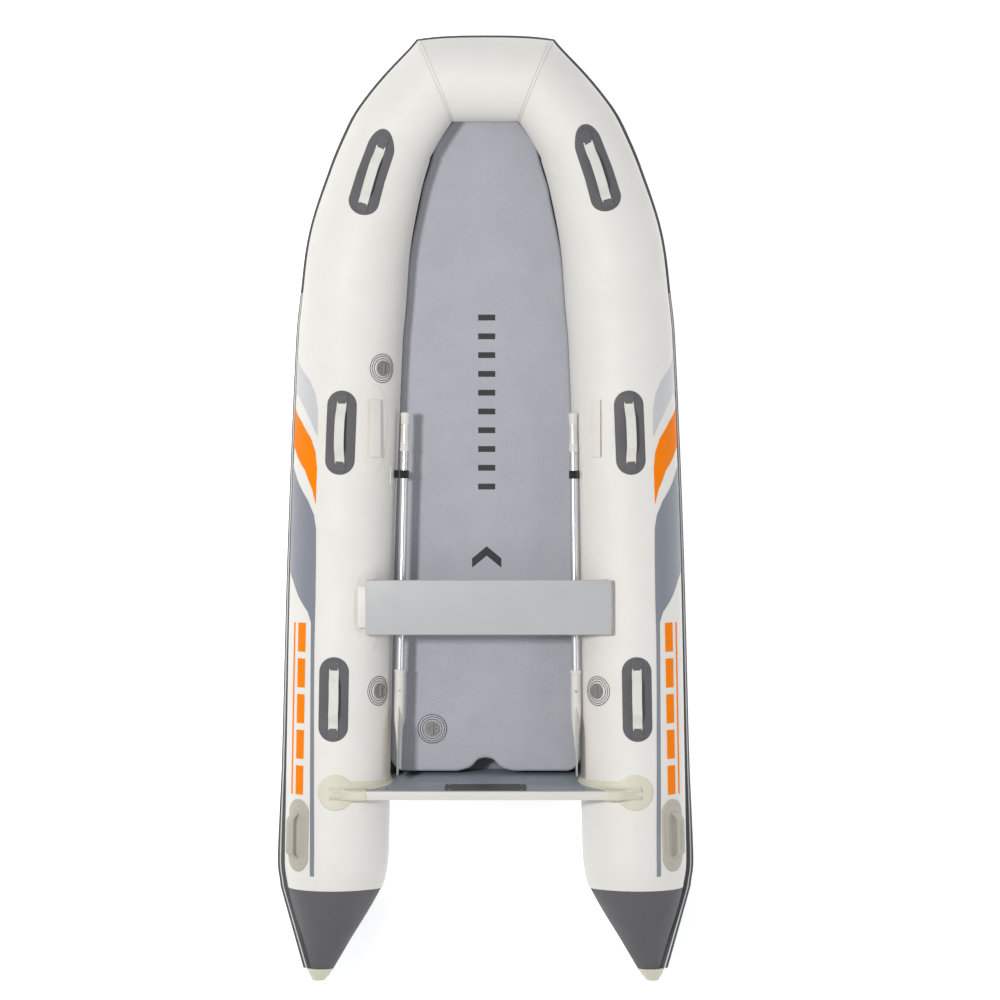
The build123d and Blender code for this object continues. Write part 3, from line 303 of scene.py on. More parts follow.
# ---- meshes --------------------------------------------------------------------------------
@dataclass
class Shell:
    """Points and faces of a mesh in the making, with a length in metres at each corner."""

    points: list = field(default_factory=list)
    faces: list = field(default_factory=list)
    lengths: list = field(default_factory=list)

    def rings(self, rings: np.ndarray, closed: bool = False,
              grain: Optional[np.ndarray] = None) -> "Shell":
        """Adds a closed skin through a row of rings.

        Args:
            rings: points of each ring, shape (rings, points, 3).
            closed: whether the last ring joins the first, as in a torus; otherwise both end
                rings get a fan.
            grain: lengths along and round the skin, shape (rings, points, 2).

        Returns:
            The shell itself.
        """
        count, round_count = rings.shape[:2]
        base = len(self.points)
        self.points += rings.reshape(-1, 3).tolist()
        if grain is None:
            grain = ring_lengths(rings)
        self.lengths += grain.reshape(-1, 2).tolist()
        rows = count if closed else count - 1
        for i in range(rows):
            for j in range(round_count):
                a, b = base + i * round_count, base + (i + 1) % count * round_count
                k = (j + 1) % round_count
                self.faces.append((a + j, a + k, b + k, b + j))
        if not closed:
            for i in (0, count - 1):
                start = base + i * round_count
                self.points.append(rings[i].mean(axis=0).tolist())
                self.lengths.append(grain[i].mean(axis=0).tolist())
                hub = len(self.points) - 1
                for j in range(round_count):
                    self.faces.append((hub, start + j, start + (j + 1) % round_count))
        return self

    def slab(self, top: np.ndarray, bottom: np.ndarray) -> "Shell":
        """Adds a closed sheet between two grids of one layout.

        Args:
            top: points of the upper face, shape (rows, columns, 3).
            bottom: points of the lower face.

        Returns:
            The shell itself.
        """
        rows, columns = top.shape[:2]
        base = len(self.points)
        for grid in (top, bottom):
            self.points += grid.reshape(-1, 3).tolist()
            self.lengths += grid_lengths(grid).reshape(-1, 2).tolist()
        under = base + rows * columns
        for i in range(rows - 1):
            for j in range(columns - 1):
                a, b = i * columns + j, (i + 1) * columns + j
                self.faces.append((base + a, base + a + 1, base + b + 1, base + b))
                self.faces.append((under + a, under + b, under + b + 1, under + a + 1))
        edge = [(0, j) for j in range(columns)] + [(i, columns - 1) for i in range(1, rows)]
        edge += [(rows - 1, j) for j in range(columns - 2, -1, -1)]
        edge += [(i, 0) for i in range(rows - 2, 0, -1)]
        spots = [i * columns + j for i, j in edge]
        for a, b in zip(spots, spots[1:] + spots[:1]):
            self.faces.append((base + a, under + a, under + b, base + b))
        return self

    def build(self, name: str, finish: Finish, body: str = "root",
              sharp: float = 40.0) -> bpy.types.Object:
        """Makes the piece.

        Args:
            name: the piece's name.
            finish: its finish.
            body: the frame's body that it rides on.
            sharp: edges that turn by more than this many degrees stay crisp.

        Returns:
            The new object, in the scene.
        """
        mesh = bpy.data.meshes.new(name)
        mesh.from_pydata(self.points, [], self.faces)
        layer = mesh.uv_layers.new(name="lengths")
        corners = np.zeros(len(mesh.loops), np.int32)
        mesh.loops.foreach_get("vertex_index", corners)
        layer.data.foreach_set("uv", np.array(self.lengths, np.float32)[corners].ravel())
        return dress(mesh, name, finish, body, sharp)


def in_scene(name: str, data: bpy.types.ID) -> bpy.types.Object:
    """New object in the scene for a mesh, lamp or camera.

    Args:
        name: its name.
        data: what it shows.

    Returns:
        The new object.
    """
    made = bpy.data.objects.new(name, data)
    bpy.context.scene.collection.objects.link(made)
    return made


def evaluated(piece: bpy.types.Object) -> bpy.types.Mesh:
    """Mesh of an object with its modifiers applied."""
    graph = bpy.context.evaluated_depsgraph_get()
    return bpy.data.meshes.new_from_object(piece.evaluated_get(graph), depsgraph=graph)


def shown(name: str, mesh: bpy.types.Mesh, finish: Finish, body: str) -> bpy.types.Object:
    """Puts a finished mesh on its body.

    Args:
        name: the piece's name.
        mesh: its mesh, in the frame's metres.
        finish: its finish; not used.
        body: the body it rides on.

    Returns:
        The new object.
    """
    piece = in_scene(name, mesh)
    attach(piece, body)
    log.info("%s: %d faces", name, len(mesh.polygons))
    return piece


def dress(mesh: bpy.types.Mesh, name: str, finish: Finish, body: str,
          sharp: float = 40.0) -> bpy.types.Object:
    """Cleans a closed mesh, gives it its finish and puts it on its body.

    Args:
        mesh: the mesh, in the frame's metres.
        name: the piece's name.
        finish: its finish.
        body: the body it rides on.
        sharp: angle in degrees past which an edge is crisp.

    Returns:
        The new object.
    """
    made = bmesh.new()
    made.from_mesh(mesh)
    bmesh.ops.remove_doubles(made, verts=made.verts, dist=2e-6)
    bmesh.ops.recalc_face_normals(made, faces=made.faces)
    made.to_mesh(mesh)
    made.free()
    mesh.shade_smooth()
    mesh.set_sharp_from_angle(angle=radians(sharp))
    mesh.materials.clear()
    mesh.materials.append(finish.material())
    return shown(name, mesh, finish, body)


def ring_lengths(rings: np.ndarray) -> np.ndarray:
    """Distance round each ring and along the rows, in metres, for patterns that follow a skin.

    Args:
        rings: points of each ring, shape (rings, points, 3).

    Returns:
        Lengths round and along, shape (rings, points, 2).
    """
    steps = np.linalg.norm(np.diff(rings, axis=1), axis=2)
    across = np.concatenate([np.zeros((len(rings), 1)), np.cumsum(steps, axis=1)], axis=1)
    middle = rings.mean(axis=1)
    moves = np.linalg.norm(np.diff(middle, axis=0), axis=1)
    along = np.concatenate([[0.0], np.cumsum(moves)])
    return np.stack([np.broadcast_to(across.mean(axis=0), across.shape),
                     np.repeat(along[:, None], rings.shape[1], axis=1)], axis=2)


def grid_lengths(grid: np.ndarray) -> np.ndarray:
    """Distance across and along a grid, in metres.

    Args:
        grid: points, shape (rows, columns, 3).

    Returns:
        Lengths across and along, shape (rows, columns, 2).
    """
    across = np.cumsum(np.linalg.norm(np.diff(grid, axis=1, prepend=grid[:, :1]), axis=2), axis=1)
    along = np.cumsum(np.linalg.norm(np.diff(grid, axis=0, prepend=grid[:1]), axis=2), axis=0)
    return np.stack([across, along], axis=2)


def array(points: Sequence) -> np.ndarray:
    """Nested vectors as one array of floats."""
    return np.array([[tuple(p) for p in row] for row in points], float)


def circle(count: int, turn: float = 0.0) -> list[tuple[float, float]]:
    """Cosine and sine at even steps round a circle."""
    return [(cos(2 * pi * i / count + turn), sin(2 * pi * i / count + turn))
            for i in range(count)]


def squared(value: float, power: float) -> float:
    """A cosine or sine brought nearer to its sign, which makes a round section squarer."""
    return abs(value) ** power * (1 if value > 0 else -1)


def pill_ring(half: float, r: float, count: int = 64) -> list[tuple[float, float]]:
    """Outline of a stadium: a straight spine of half length half, and round ends of radius r."""
    return [((half if c > 1e-9 else -half if c < -1e-9 else 0.0) + r * c, r * s)
            for c, s in circle(count)]


def on_line(line: Line, y: float) -> float:
    """Value at y of a smooth curve through the points of a line.

    Args:
        line: places and values, by rising place.
        y: the place asked for.

    Returns:
        The value, level where the line turns or runs level.
    """
    y = min(max(y, line[0][0]), line[-1][0])
    i = max(k for k in range(len(line) - 1) if line[k][0] <= y)

    def slope(k: int) -> float:
        """Slope through point k.

        Args:
            k: number of the point.

        Returns:
            The slope.
        """
        if k in (0, len(line) - 1):
            (a, va), (b, vb) = (line[0], line[1]) if k == 0 else (line[-2], line[-1])
            return (vb - va) / (b - a)
        before, after = line[k][1] - line[k - 1][1], line[k + 1][1] - line[k][1]
        return 0.0 if before * after <= 0 else (before + after) / (line[k + 1][0] - line[k - 1][0])

    (y0, v0), (y1, v1) = line[i], line[i + 1]
    t = (y - y0) / (y1 - y0)
    return ((2 * t**3 - 3 * t**2 + 1) * v0 + (t**3 - 2 * t**2 + t) * (y1 - y0) * slope(i)
            + (3 * t**2 - 2 * t**3) * v1 + (t**3 - t**2) * (y1 - y0) * slope(i + 1))


def steps(start: float, end: float, size: float) -> list[float]:
    """Even places from start to end, no further apart than size."""
    count = max(1, ceil(abs(end - start) / size))
    return [start + (end - start) * i / count for i in range(count + 1)]


def ease(share: float) -> float:
    """Smooth step from 0 to 1."""
    share = min(max(share, 0.0), 1.0)
    return share * share * (3 - 2 * share)


# ---- geometry node trees -------------------------------------------------------------------
def socket_ids(tree: Tree) -> dict[str, str]:
    """Identifier of each named input of a tree."""
    return {s.name: s.identifier for s in tree.interface.items_tree if s.in_out == "INPUT"}


def new_tree(name: str, inputs: dict[str, str]) -> tuple[Tree, bpy.types.Node]:
    """Starts a tree with geometry in and out.

    Args:
        name: the tree's name.
        inputs: type of each named input.

    Returns:
        The tree and its input node.
    """
    tree = bpy.data.node_groups.new(name, "GeometryNodeTree")
    tree.interface.new_socket("Geometry", in_out="INPUT", socket_type="NodeSocketGeometry")
    for label, kind in inputs.items():
        tree.interface.new_socket(label, in_out="INPUT", socket_type=kind)
    tree.interface.new_socket("Geometry", in_out="OUTPUT", socket_type="NodeSocketGeometry")
    return tree, add(tree, "NodeGroupInput")


def end_tree(tree: Tree, geometry: bpy.types.NodeSocket, material: bpy.types.NodeSocket) -> Tree:
    """Ends a tree: smooth shading, instances made real, and the material set.

    Args:
        tree: the tree.
        geometry: what has been made.
        material: the material.

    Returns:
        The finished tree.
    """
    smooth = add(tree, "GeometryNodeSetShadeSmooth", {"Geometry": geometry})
    real = add(tree, "GeometryNodeRealizeInstances", {"Geometry": smooth.outputs[0]})
    dressed = add(tree, "GeometryNodeSetMaterial", {"Geometry": real.outputs[0],
                                                    "Material": material})
    add(tree, "NodeGroupOutput", {0: dressed.outputs[0]})
    return tree


@lru_cache(maxsize=None)
def studs_tree() -> Tree:
    """Tree that sets a small rounded bar at each guide point, turned by the point's own axes.

    Returns:
        The tree, made once.
    """
    tree, given = new_tree("studs", {"Length": "NodeSocketFloat", "Width": "NodeSocketFloat",
                                     "Height": "NodeSocketFloat",
                                     "Material": "NodeSocketMaterial"})
    ball = add(tree, "GeometryNodeMeshUVSphere", {"Segments": 8, "Rings": 5, "Radius": 0.5})
    size = add(tree, "ShaderNodeCombineXYZ", {"X": given.outputs["Length"],
                                              "Y": given.outputs["Width"],
                                              "Z": given.outputs["Height"]})
    along = add(tree, "GeometryNodeInputNamedAttribute", {"Name": "along"},
                data_type="FLOAT_VECTOR")
    up = add(tree, "GeometryNodeInputNamedAttribute", {"Name": "up"}, data_type="FLOAT_VECTOR")
    turn = add(tree, "FunctionNodeAxesToRotation", {0: along.outputs[0], 1: up.outputs[0]},
               primary_axis="X", secondary_axis="Z")
    points = add(tree, "GeometryNodeMeshToPoints", {"Mesh": given.outputs["Geometry"],
                                                    "Radius": 0.001})
    bars = add(tree, "GeometryNodeInstanceOnPoints", {
        "Points": points.outputs[0], "Instance": ball.outputs[0], "Rotation": turn.outputs[0],
        "Scale": size.outputs[0]})
    return end_tree(tree, bars.outputs[0], given.outputs["Material"])


@lru_cache(maxsize=None)
def bead_tree() -> Tree:
    """Tree that runs a round bead along the guide's edges.

    Returns:
        The tree, made once.
    """
    tree, given = new_tree("bead", {"Radius": "NodeSocketFloat", "Sides": "NodeSocketInt",
                                    "Material": "NodeSocketMaterial"})
    path = add(tree, "GeometryNodeMeshToCurve", {"Mesh": given.outputs["Geometry"]})
    ring = add(tree, "GeometryNodeCurvePrimitiveCircle", {"Resolution": given.outputs["Sides"],
                                                          "Radius": given.outputs["Radius"]})
    bead = add(tree, "GeometryNodeCurveToMesh", {"Curve": path.outputs[0],
                                                 "Profile Curve": ring.outputs[0],
                                                 "Fill Caps": True})
    return end_tree(tree, bead.outputs[0], given.outputs["Material"])


def grown(name: str, guide: bpy.types.Mesh, tree: Tree, values: dict[str, object],
          finish: Finish, body: str) -> bpy.types.Object:
    """Runs a tree on a guide and keeps the result as a plain mesh.

    Args:
        name: the piece's name.
        guide: the guide mesh.
        tree: the tree.
        values: value of each named input, apart from the material.
        finish: the piece's finish.
        body: the body it rides on.

    Returns:
        The new object.
    """
    holder = in_scene(name + "_guide", guide)
    modifier = holder.modifiers.new("grow", "NODES")
    modifier.node_group = tree
    ids = socket_ids(tree)
    for label, value in {**values, "Material": finish.material()}.items():
        modifier[ids[label]] = value
    holder.data.update()
    mesh = evaluated(holder)
    mesh.name = name
    holder.modifiers.clear()
    bpy.data.objects.remove(holder)
    return shown(name, mesh, finish, body)


def studs(name: str, spots: Sequence[tuple[Vector, Vector, Vector]],
          size: tuple[float, float, float], finish: Finish, body: str = "root"
          ) -> bpy.types.Object:
    """Makes a group of small rounded bars, such as stitches or ribs.

    Args:
        name: the piece's name.
        spots: place, long direction and upward direction of each bar.
        size: length, width and height of a bar.
        finish: its finish.
        body: the body it rides on.

    Returns:
        The new object.
    """
    guide = bpy.data.meshes.new(name + "_guide")
    guide.from_pydata([tuple(p) for p, _, _ in spots], [], [])
    for k, label in ((1, "along"), (2, "up")):
        layer = guide.attributes.new(label, "FLOAT_VECTOR", "POINT")
        layer.data.foreach_set("vector", [c for s in spots for c in s[k]])
    values = dict(zip(("Length", "Width", "Height"), size))
    return grown(name, guide, studs_tree(), values, finish, body)


def bead(name: str, path: Sequence[Vector], r: float, finish: Finish, body: str = "root",
         closed: bool = False, sides: int = 10) -> bpy.types.Object:
    """Makes a round bead along a path.

    Args:
        name: the piece's name.
        path: points of its middle line.
        r: its radius.
        finish: its finish.
        body: the body it rides on.
        closed: whether the path is a loop.
        sides: faces round the bead.

    Returns:
        The new object.
    """
    guide = bpy.data.meshes.new(name + "_guide")
    edges = [(i, i + 1) for i in range(len(path) - 1)] + ([(len(path) - 1, 0)] if closed else [])
    guide.from_pydata([tuple(p) for p in path], edges, [])
    return grown(name, guide, bead_tree(), {"Radius": r, "Sides": sides}, finish, body)


# ---- copies of the frame's hard parts ------------------------------------------------------
@dataclass
class Hardware:
    """Hard parts whose shape is the frame's, given rounded edges and their finish."""

    frame: dict

    def body_of(self, node: str) -> str:
        """Body that a node belongs to."""
        return self.frame["nodes"][node]["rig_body"]

    def copy(self, node: str) -> bpy.types.Object:
        """Merged copy of a node's mesh, in the scene and on no body.

        Args:
            node: the frame's node.

        Returns:
            The copy.
        """
        mesh = self.frame["nodes"][node].data.copy()
        made = bmesh.new()
        made.from_mesh(mesh)
        bmesh.ops.remove_doubles(made, verts=made.verts, dist=1e-5)
        bmesh.ops.dissolve_limit(made, angle_limit=radians(1.0), verts=made.verts,
                                 edges=made.edges)
        made.to_mesh(mesh)
        made.free()
        mesh.materials.clear()
        return in_scene(node + "_draft", mesh)

    def rounded(self, node: str, finish: Finish, width: float, segments: int = 3
                ) -> bpy.types.Object:
        """The node with its edges rounded.

        Args:
            node: the frame's node.
            finish: its finish.
            width: radius of the round, in metres.
            segments: faces across the round.

        Returns:
            The piece that stands for the node.
        """
        draft = self.copy(node)
        bevel = draft.modifiers.new("round", "BEVEL")
        bevel.width, bevel.segments = width, segments
        bevel.limit_method, bevel.angle_limit = "ANGLE", radians(30)
        mesh = evaluated(draft)
        draft.modifiers.clear()
        bpy.data.objects.remove(draft)
        piece = dress(mesh, node + "_finished", finish, self.body_of(node), 30.0)
        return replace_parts(piece, node)

    def keep(self, node: str, finish: Finish) -> None:
        """Leaves the node as it is, with a better material.

        Args:
            node: the frame's node.
            finish: its finish.
        """
        mesh = self.frame["nodes"][node].data
        mesh.materials.clear()
        mesh.materials.append(finish.material())


# ---- the tubes' skin -----------------------------------------------------------------------
@dataclass(frozen=True)
class TubeSpot:
    """The tube at one place: its centre, directions and radius.

    The stretch widens a section into the mitre, and the pull draws its outer half back.
    """

    centre: Vector
    along: Vector
    outboard: Vector
    up: Vector
    radius: float
    stretch: float = 1.0
    pull: float = 1.0


@dataclass(frozen=True)
class Skin:
    """Surface of the tubes and cones, from the boat's driving sizes."""

    length: float = 3.5
    beam: float = 1.557
    tube_radius: float = 0.1945
    bow_radius: float = 0.154
    bow_rise: float = 0.161
    strake_depth: float = 0.028
    cone_length: float = 0.303
    cap_length: float = 0.047
    cone_seam_radius: float = 0.176
    cone_end_radius: float = 0.043
    cone_end_shift: float = 0.046
    cone_end_lift: float = 0.020
    baffle_setback: float = 1.350
    mitre_half_turn: float = 23.0
    fan_start: float = 0.250        # where sections begin to turn into the mitre
    corner_pull: float = 0.085      # how far the fabric cuts the mitre's outer corner

    @property
    def stern(self) -> float:
        """Aft end of the boat."""
        return -self.length / 2

    @property
    def bow(self) -> float:
        """Front of the bow tube."""
        return self.length / 2

    @property
    def cone_end(self) -> float:
        """Where the cone meets its cap."""
        return self.stern + self.cap_length

    @property
    def seam(self) -> float:
        """Where the cone meets the tube."""
        return self.cone_end + self.cone_length

    @property
    def half_spacing(self) -> float:
        """Half the distance between the side tubes' centres, aft."""
        return self.beam / 2 - self.strake_depth - self.tube_radius

    @property
    def mitre(self) -> float:
        """Where a side tube's centre meets the bow tube's."""
        return self.bow - self.bow_radius

    @property
    def baffle(self) -> float:
        """Where the aft air chambers end."""
        return self.bow - self.baffle_setback

    def inset(self, y: float) -> float:
        """How far the tube's centre lies inboard of its widest place.

        Args:
            y: place along the boat.

        Returns:
            The distance.
        """
        s, b = self.seam, self.bow
        return on_line([(s, -0.0078), (s + 0.07, -0.004), (s + 0.14, 0.0), (s + 0.47, 0.006),
                        (s + 1.22, 0.021), (b - 1.107, 0.052), (b - 0.969, 0.065),
                        (b - 0.745, 0.090), (b - 0.526, 0.149), (b - 0.417, 0.189),
                        (b - 0.345, 0.224), (self.mitre, 0.367)], y)

    def rise(self, y: float) -> float:
        """Height of the tube's centre above its height aft.

        Args:
            y: place along the boat.

        Returns:
            The height.
        """
        b = self.bow
        return self.bow_rise * on_line([
            (self.seam, 0.0), (b - 1.45, 0.0), (b - 1.107, 0.02), (b - 0.969, 0.06),
            (b - 0.745, 0.20), (b - 0.526, 0.47), (b - 0.345, 0.78), (self.mitre, 1.0)], y)

    def centre(self, side: Side, y: float) -> Vector:
        """Centre of the tube or cone at y.

        Args:
            side: which side of the boat.
            y: place along the boat.

        Returns:
            The centre.
        """
        if y < self.seam:
            share = (self.seam - y) / self.cone_length
            x = self.half_spacing - self.inset(self.seam) + self.cone_end_shift * share
            return Vector((side.value * x, y, self.tube_radius + self.cone_end_lift * share))
        x = self.half_spacing - self.inset(y)
        return Vector((side.value * x, y, self.tube_radius + self.rise(y)))

    def radius(self, y: float) -> float:
        """Radius of the tube or cone at y.

        Args:
            y: place along the boat.

        Returns:
            The radius.
        """
        if y < self.seam:
            share = (self.seam - y) / self.cone_length
            return self.cone_seam_radius + (self.cone_end_radius - self.cone_seam_radius) * share
        b = self.bow
        taper = on_line([(self.seam + 0.14, 0.0), (b - 1.107, 0.0), (b - 0.969, 0.02),
                         (b - 0.745, 0.18), (b - 0.526, 0.58), (b - 0.345, 0.90),
                         (self.mitre, 1.0)], y)
        neck = on_line([(self.seam, 1.0), (self.seam + 0.045, 0.40), (self.seam + 0.09, 0.10),
                        (self.seam + 0.14, 0.0)], y)
        return (self.tube_radius + (self.bow_radius - self.tube_radius) * taper
                + (self.cone_seam_radius - self.tube_radius) * neck)

    @lru_cache(maxsize=None)
    def spot(self, side: Side, y: float) -> TubeSpot:
        """The tube at y; its sections fan round into the mitre near the bow.

        Args:
            side: which side of the boat.
            y: place along the boat.

        Returns:
            Its centre, directions and radius.
        """
        centre = self.centre(side, y)
        if y <= self.seam:
            return TubeSpot(centre, Vector((0, 1, 0)), Vector((side.value, 0, 0)),
                            Vector((0, 0, 1)), self.radius(y))
        near = min(y, self.mitre - 0.002)
        along = (self.centre(side, near + 0.001) - self.centre(side, near - 0.001)).normalized()
        share = ease((y - (self.mitre - self.fan_start)) / self.fan_start)
        heading = atan2(-side.value * along.x, along.y)
        heading += (radians(2 * self.mitre_half_turn - 2) - heading) * share
        fan = radians(self.mitre_half_turn) * share
        slope = along.z * (1 - share)
        flat = sqrt(max(1 - slope * slope, 0.0))
        along = Vector((-side.value * sin(heading) * flat, cos(heading) * flat, slope))
        up = (Vector((0, 0, 1)) - along * along.z).normalized()
        outboard = Vector((side.value * cos(heading + fan), sin(heading + fan), 0))
        return TubeSpot(centre, along, outboard, up, self.radius(y), 1 / cos(fan),
                        1 - self.corner_pull * share ** 3)

    def at(self, side: Side, y: float, angle: float, lift: float = 0.0) -> Vector:
        """Point on the skin.

        Args:
            side: which tube.
            y: place of the section's centre.
            angle: degrees outboard of the crown; inboard is negative.
            lift: distance outside the skin.

        Returns:
            The point.
        """
        s, a = self.spot(side, y), radians(angle)
        r = s.radius + lift
        wide = s.stretch * (s.pull if sin(a) > 0 else 1.0)
        return s.centre + s.up * (r * cos(a)) + s.outboard * (r * sin(a) * wide)

    def normal(self, side: Side, y: float, angle: float) -> Vector:
        """Outward direction of the skin."""
        s, a = self.spot(side, y), radians(angle)
        return s.up * cos(a) + s.outboard * sin(a)

    def local(self, side: Side, y: float, arc: float, u: float, v: float, lift: float) -> Vector:
        """Point near a place on the skin.

        Args:
            side: which tube.
            y: the place along it.
            arc: the place round it, from the crown, outboard.
            u: distance forward of the place.
            v: distance outboard of the place, round the skin.
            lift: distance outside the skin.

        Returns:
            The point.
        """
        s = self.spot(side, y)
        return self.at(side, y + u * s.along.y, degrees((arc + v) / s.radius), lift)

    def bow_at(self, share: float, angle: float, lift: float = 0.0) -> Vector:
        """Point on the straight bow tube; share runs from its port mitre to the other one.

        Args:
            share: share of the way across.
            angle: degrees forward of the crown.
            lift: distance outside the skin.

        Returns:
            The point.
        """
        ends = [self.at(side, self.mitre, angle, lift) for side in (Side.PORT, Side.STARBOARD)]
        point = ends[0].lerp(ends[1], share)
        if sin(radians(angle)) > 0:
            full = (1 - self.corner_pull * abs(2 * share - 1) ** 3) / (1 - self.corner_pull)
            point.y = self.mitre + (point.y - self.mitre) * full
        return point


@dataclass
class Tubes:
    """The inflated tubes, their cones, caps and seam tapes."""

    skin: Skin
    round_count: int = 128
    row_step: float = 0.016
    tape_width: float = 0.013
    tape_lift: float = 0.0006
    pucker: float = 0.0010          # height of the gathers where a tube is necked or mitred
    pucker_count: int = 26
    cap_base_radius: float = 0.050
    cap_end_radius: float = 0.027
    cap_rim: float = 0.008          # length of the cap's rim, and then of its waist
    cap_waist: float = 0.031
    cap_drift: float = 0.007        # how far the cap's end leans outboard

    def gather(self, side: Side, y: float, i: int) -> float:
        """Lift of the skin from gathers near the cone's seam, at point i of a section.

        Args:
            side: which side of the boat.
            y: place along the boat.
            i: number of the point, from the crown.

        Returns:
            The lift, which is never above zero.
        """
        away = abs(y - self.skin.seam)
        fade = max(0.0, 1 - away / 0.075) ** 2
        lobes = cos(2 * pi * i / self.round_count * self.pucker_count + side.value)
        drift = cos(2 * pi * i / self.round_count * 7 + 1.3)
        return -self.pucker * fade * (0.5 + 0.5 * lobes) * (0.7 + 0.3 * drift)

    def angles(self) -> list[float]:
        """Angles of a section's points."""
        return [360 * i / self.round_count for i in range(self.round_count)]

    def section(self, side: Side, y: float, lift: float = 0.0) -> list[Vector]:
        """Points round the tube at y, from the crown outboard."""
        return [self.skin.at(side, y, a, lift + self.gather(side, y, i))
                for i, a in enumerate(self.angles())]

    def side_skin(self, side: Side) -> bpy.types.Object:
        """Aft chamber, from the cone's seam to the baffle.

        Args:
            side: which side of the boat.

        Returns:
            The piece.
        """
        rows = [self.section(side, y)
                for y in steps(self.skin.seam, self.skin.baffle, self.row_step)]
        piece = Shell().rings(array(rows)).build(f"{side.word}_tube_skin", Finishes.tube)
        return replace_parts(piece, f"{side.word}_tube")

    def bow_skin(self) -> bpy.types.Object:
        """Bow chamber, round from one baffle to the other.

        Returns:
            The piece.
        """
        places = steps(self.skin.baffle, self.skin.mitre, self.row_step)
        rows = [self.section(Side.PORT, y) for y in places]
        count = 24
        rows += [[self.skin.bow_at(k / count, a) for a in self.angles()]
                 for k in range(1, count)]
        rows += [self.section(Side.STARBOARD, y) for y in reversed(places)]
        piece = Shell().rings(array(rows)).build("bow_tube_skin", Finishes.tube)
        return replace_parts(piece, "bow_tube")

    def tape_levels(self, width: float) -> list[tuple[float, float]]:
        """Offset and lift of each row of a tape; its edges and middle dip under the skin.

        Args:
            width: the tape's width.

        Returns:
            Offset and lift of each row, from its aft edge and back under it.
        """
        half, top, under = width / 2, self.tape_lift, -0.0006
        return [(-half, under), (-half, top), (0.0, top), (half, top), (half, under),
                (0.0, 2 * under)]

    def tape(self, name: str, stem: str, rows: list[list[Vector]], r: float,
             weld: Finish) -> bpy.types.Object:
        """Closed band through its rows, with a weld of radius r along each edge.

        Args:
            name: the tape's name.
            stem: start of the welds' names.
            rows: the tape's rows, each a ring.
            r: radius of a weld.
            weld: the welds' finish.

        Returns:
            The tape.
        """
        for k in (1, 3):
            bead(f"{stem}_weld_{k}", rows[k], r, weld, closed=True, sides=6)
        return Shell().rings(array(rows), closed=True).build(name, Finishes.tube)

    def mitre_tape(self, side: Side) -> bpy.types.Object:
        """Tape welded over the mitre's seam.

        Args:
            side: which side of the boat.

        Returns:
            The tape.
        """
        skin, rows = self.skin, []
        span = (skin.bow_at(0, 0) - skin.bow_at(1, 0)).length
        for offset, lift in self.tape_levels(self.tape_width):
            if offset < 0:
                y = skin.mitre + offset * cos(radians(45))
                rows.append([skin.at(side, y, a, lift) for a in self.angles()])
            else:
                share = offset / span if side is Side.PORT else 1 - offset / span
                rows.append([skin.bow_at(share, a, lift) for a in self.angles()])
        stem = f"{side.word}_mitre"
        # The mitre tape's welds take the darker weld colour: painted shade along the seam.
        return self.tape(stem + "_tape", stem, rows, 0.0009, Finishes.weld)

    def cross_tape(self, side: Side, y: float, width: float, name: str) -> bpy.types.Object:
        """Tape round the tube at y."""
        rows = [self.section(side, y + offset, lift) for offset, lift in self.tape_levels(width)]
        return self.tape(name, name, rows, 0.0006, Finishes.tube)

    def cone(self, side: Side) -> bpy.types.Object:
        """Stern cone, puckered a little at its seam.

        Args:
            side: which side of the boat.

        Returns:
            The piece.
        """
        skin = self.skin
        rows = []
        for y in steps(skin.cone_end, skin.seam - 0.0003, 0.010):
            share = (skin.seam - y) / skin.cone_length
            swell = 0.004 * sin(pi * min(share * 1.6, 1.0)) * (1 - share)
            rows.append([skin.at(side, y, a, swell + self.gather(side, y, i))
                         for i, a in enumerate(self.angles())])
        piece = Shell().rings(array(rows)).build(f"{side.word}_cone_skin", Finishes.grey)
        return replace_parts(piece, f"{side.word}_stern_cone")

    def cap(self, side: Side) -> None:
        """Moulded end cap: a flared rim, a waist and a rounded end, with grip ribs.

        Args:
            side: which side of the boat.
        """
        skin, rim, waist = self.skin, self.cap_base_radius, self.cap_base_radius - 0.004
        start = skin.centre(side, skin.cone_end)
        start.x += side.value * (rim - skin.cone_end_radius)
        profile = [(0.0, waist), (0.0, rim), (0.004, rim + 0.0005), (0.007, rim - 0.001),
                   (self.cap_rim, waist)]
        taper = waist - self.cap_end_radius
        profile += [(self.cap_rim + self.cap_waist * s, waist - taper * s * (0.8 + 0.2 * s))
                    for s in (0.25, 0.5, 0.75, 1.0)]
        profile += [(self.cap_rim + self.cap_waist + 0.0077 * sin(a),
                     self.cap_end_radius * (0.62 + 0.38 * cos(a)))
                    for a in (0.3, 0.6, 0.9, 1.2, pi / 2)]
        rings = []
        for back, r in profile:
            drift = side.value * self.cap_drift * back / skin.cap_length
            rings.append([start + Vector((r * s + drift, -0.0003 - back, r * c))
                          for c, s in circle(64)])
        piece = Shell().rings(array(rings)).build(f"{side.word}_cap_shell", Finishes.cream)
        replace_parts(piece, f"{side.word}_cone_cap")
        middle = start + Vector((side.value * self.cap_drift / 2, -0.0225, 0))
        spots = []
        for c, s in circle(20):
            out = Vector((s, 0, c))
            lean = (Vector((0, -1, 0)) - out * (taper / self.cap_waist)).normalized()
            spots.append((middle + out * (waist - taper * 0.5 * 0.9), lean, out))
        studs(f"{side.word}_cap_ribs", spots, (0.020, 0.0035, 0.0025), Finishes.cream)

    def build(self) -> None:
        """Makes every piece."""
        for side in Side:
            self.side_skin(side)
            self.cone(side)
            self.cap(side)
            self.mitre_tape(side)
            self.cross_tape(side, self.skin.seam + 0.020, 0.024, f"{side.word}_stern_tape")
            self.cross_tape(side, self.skin.baffle, 0.030, f"{side.word}_baffle_tape")
        self.bow_skin()


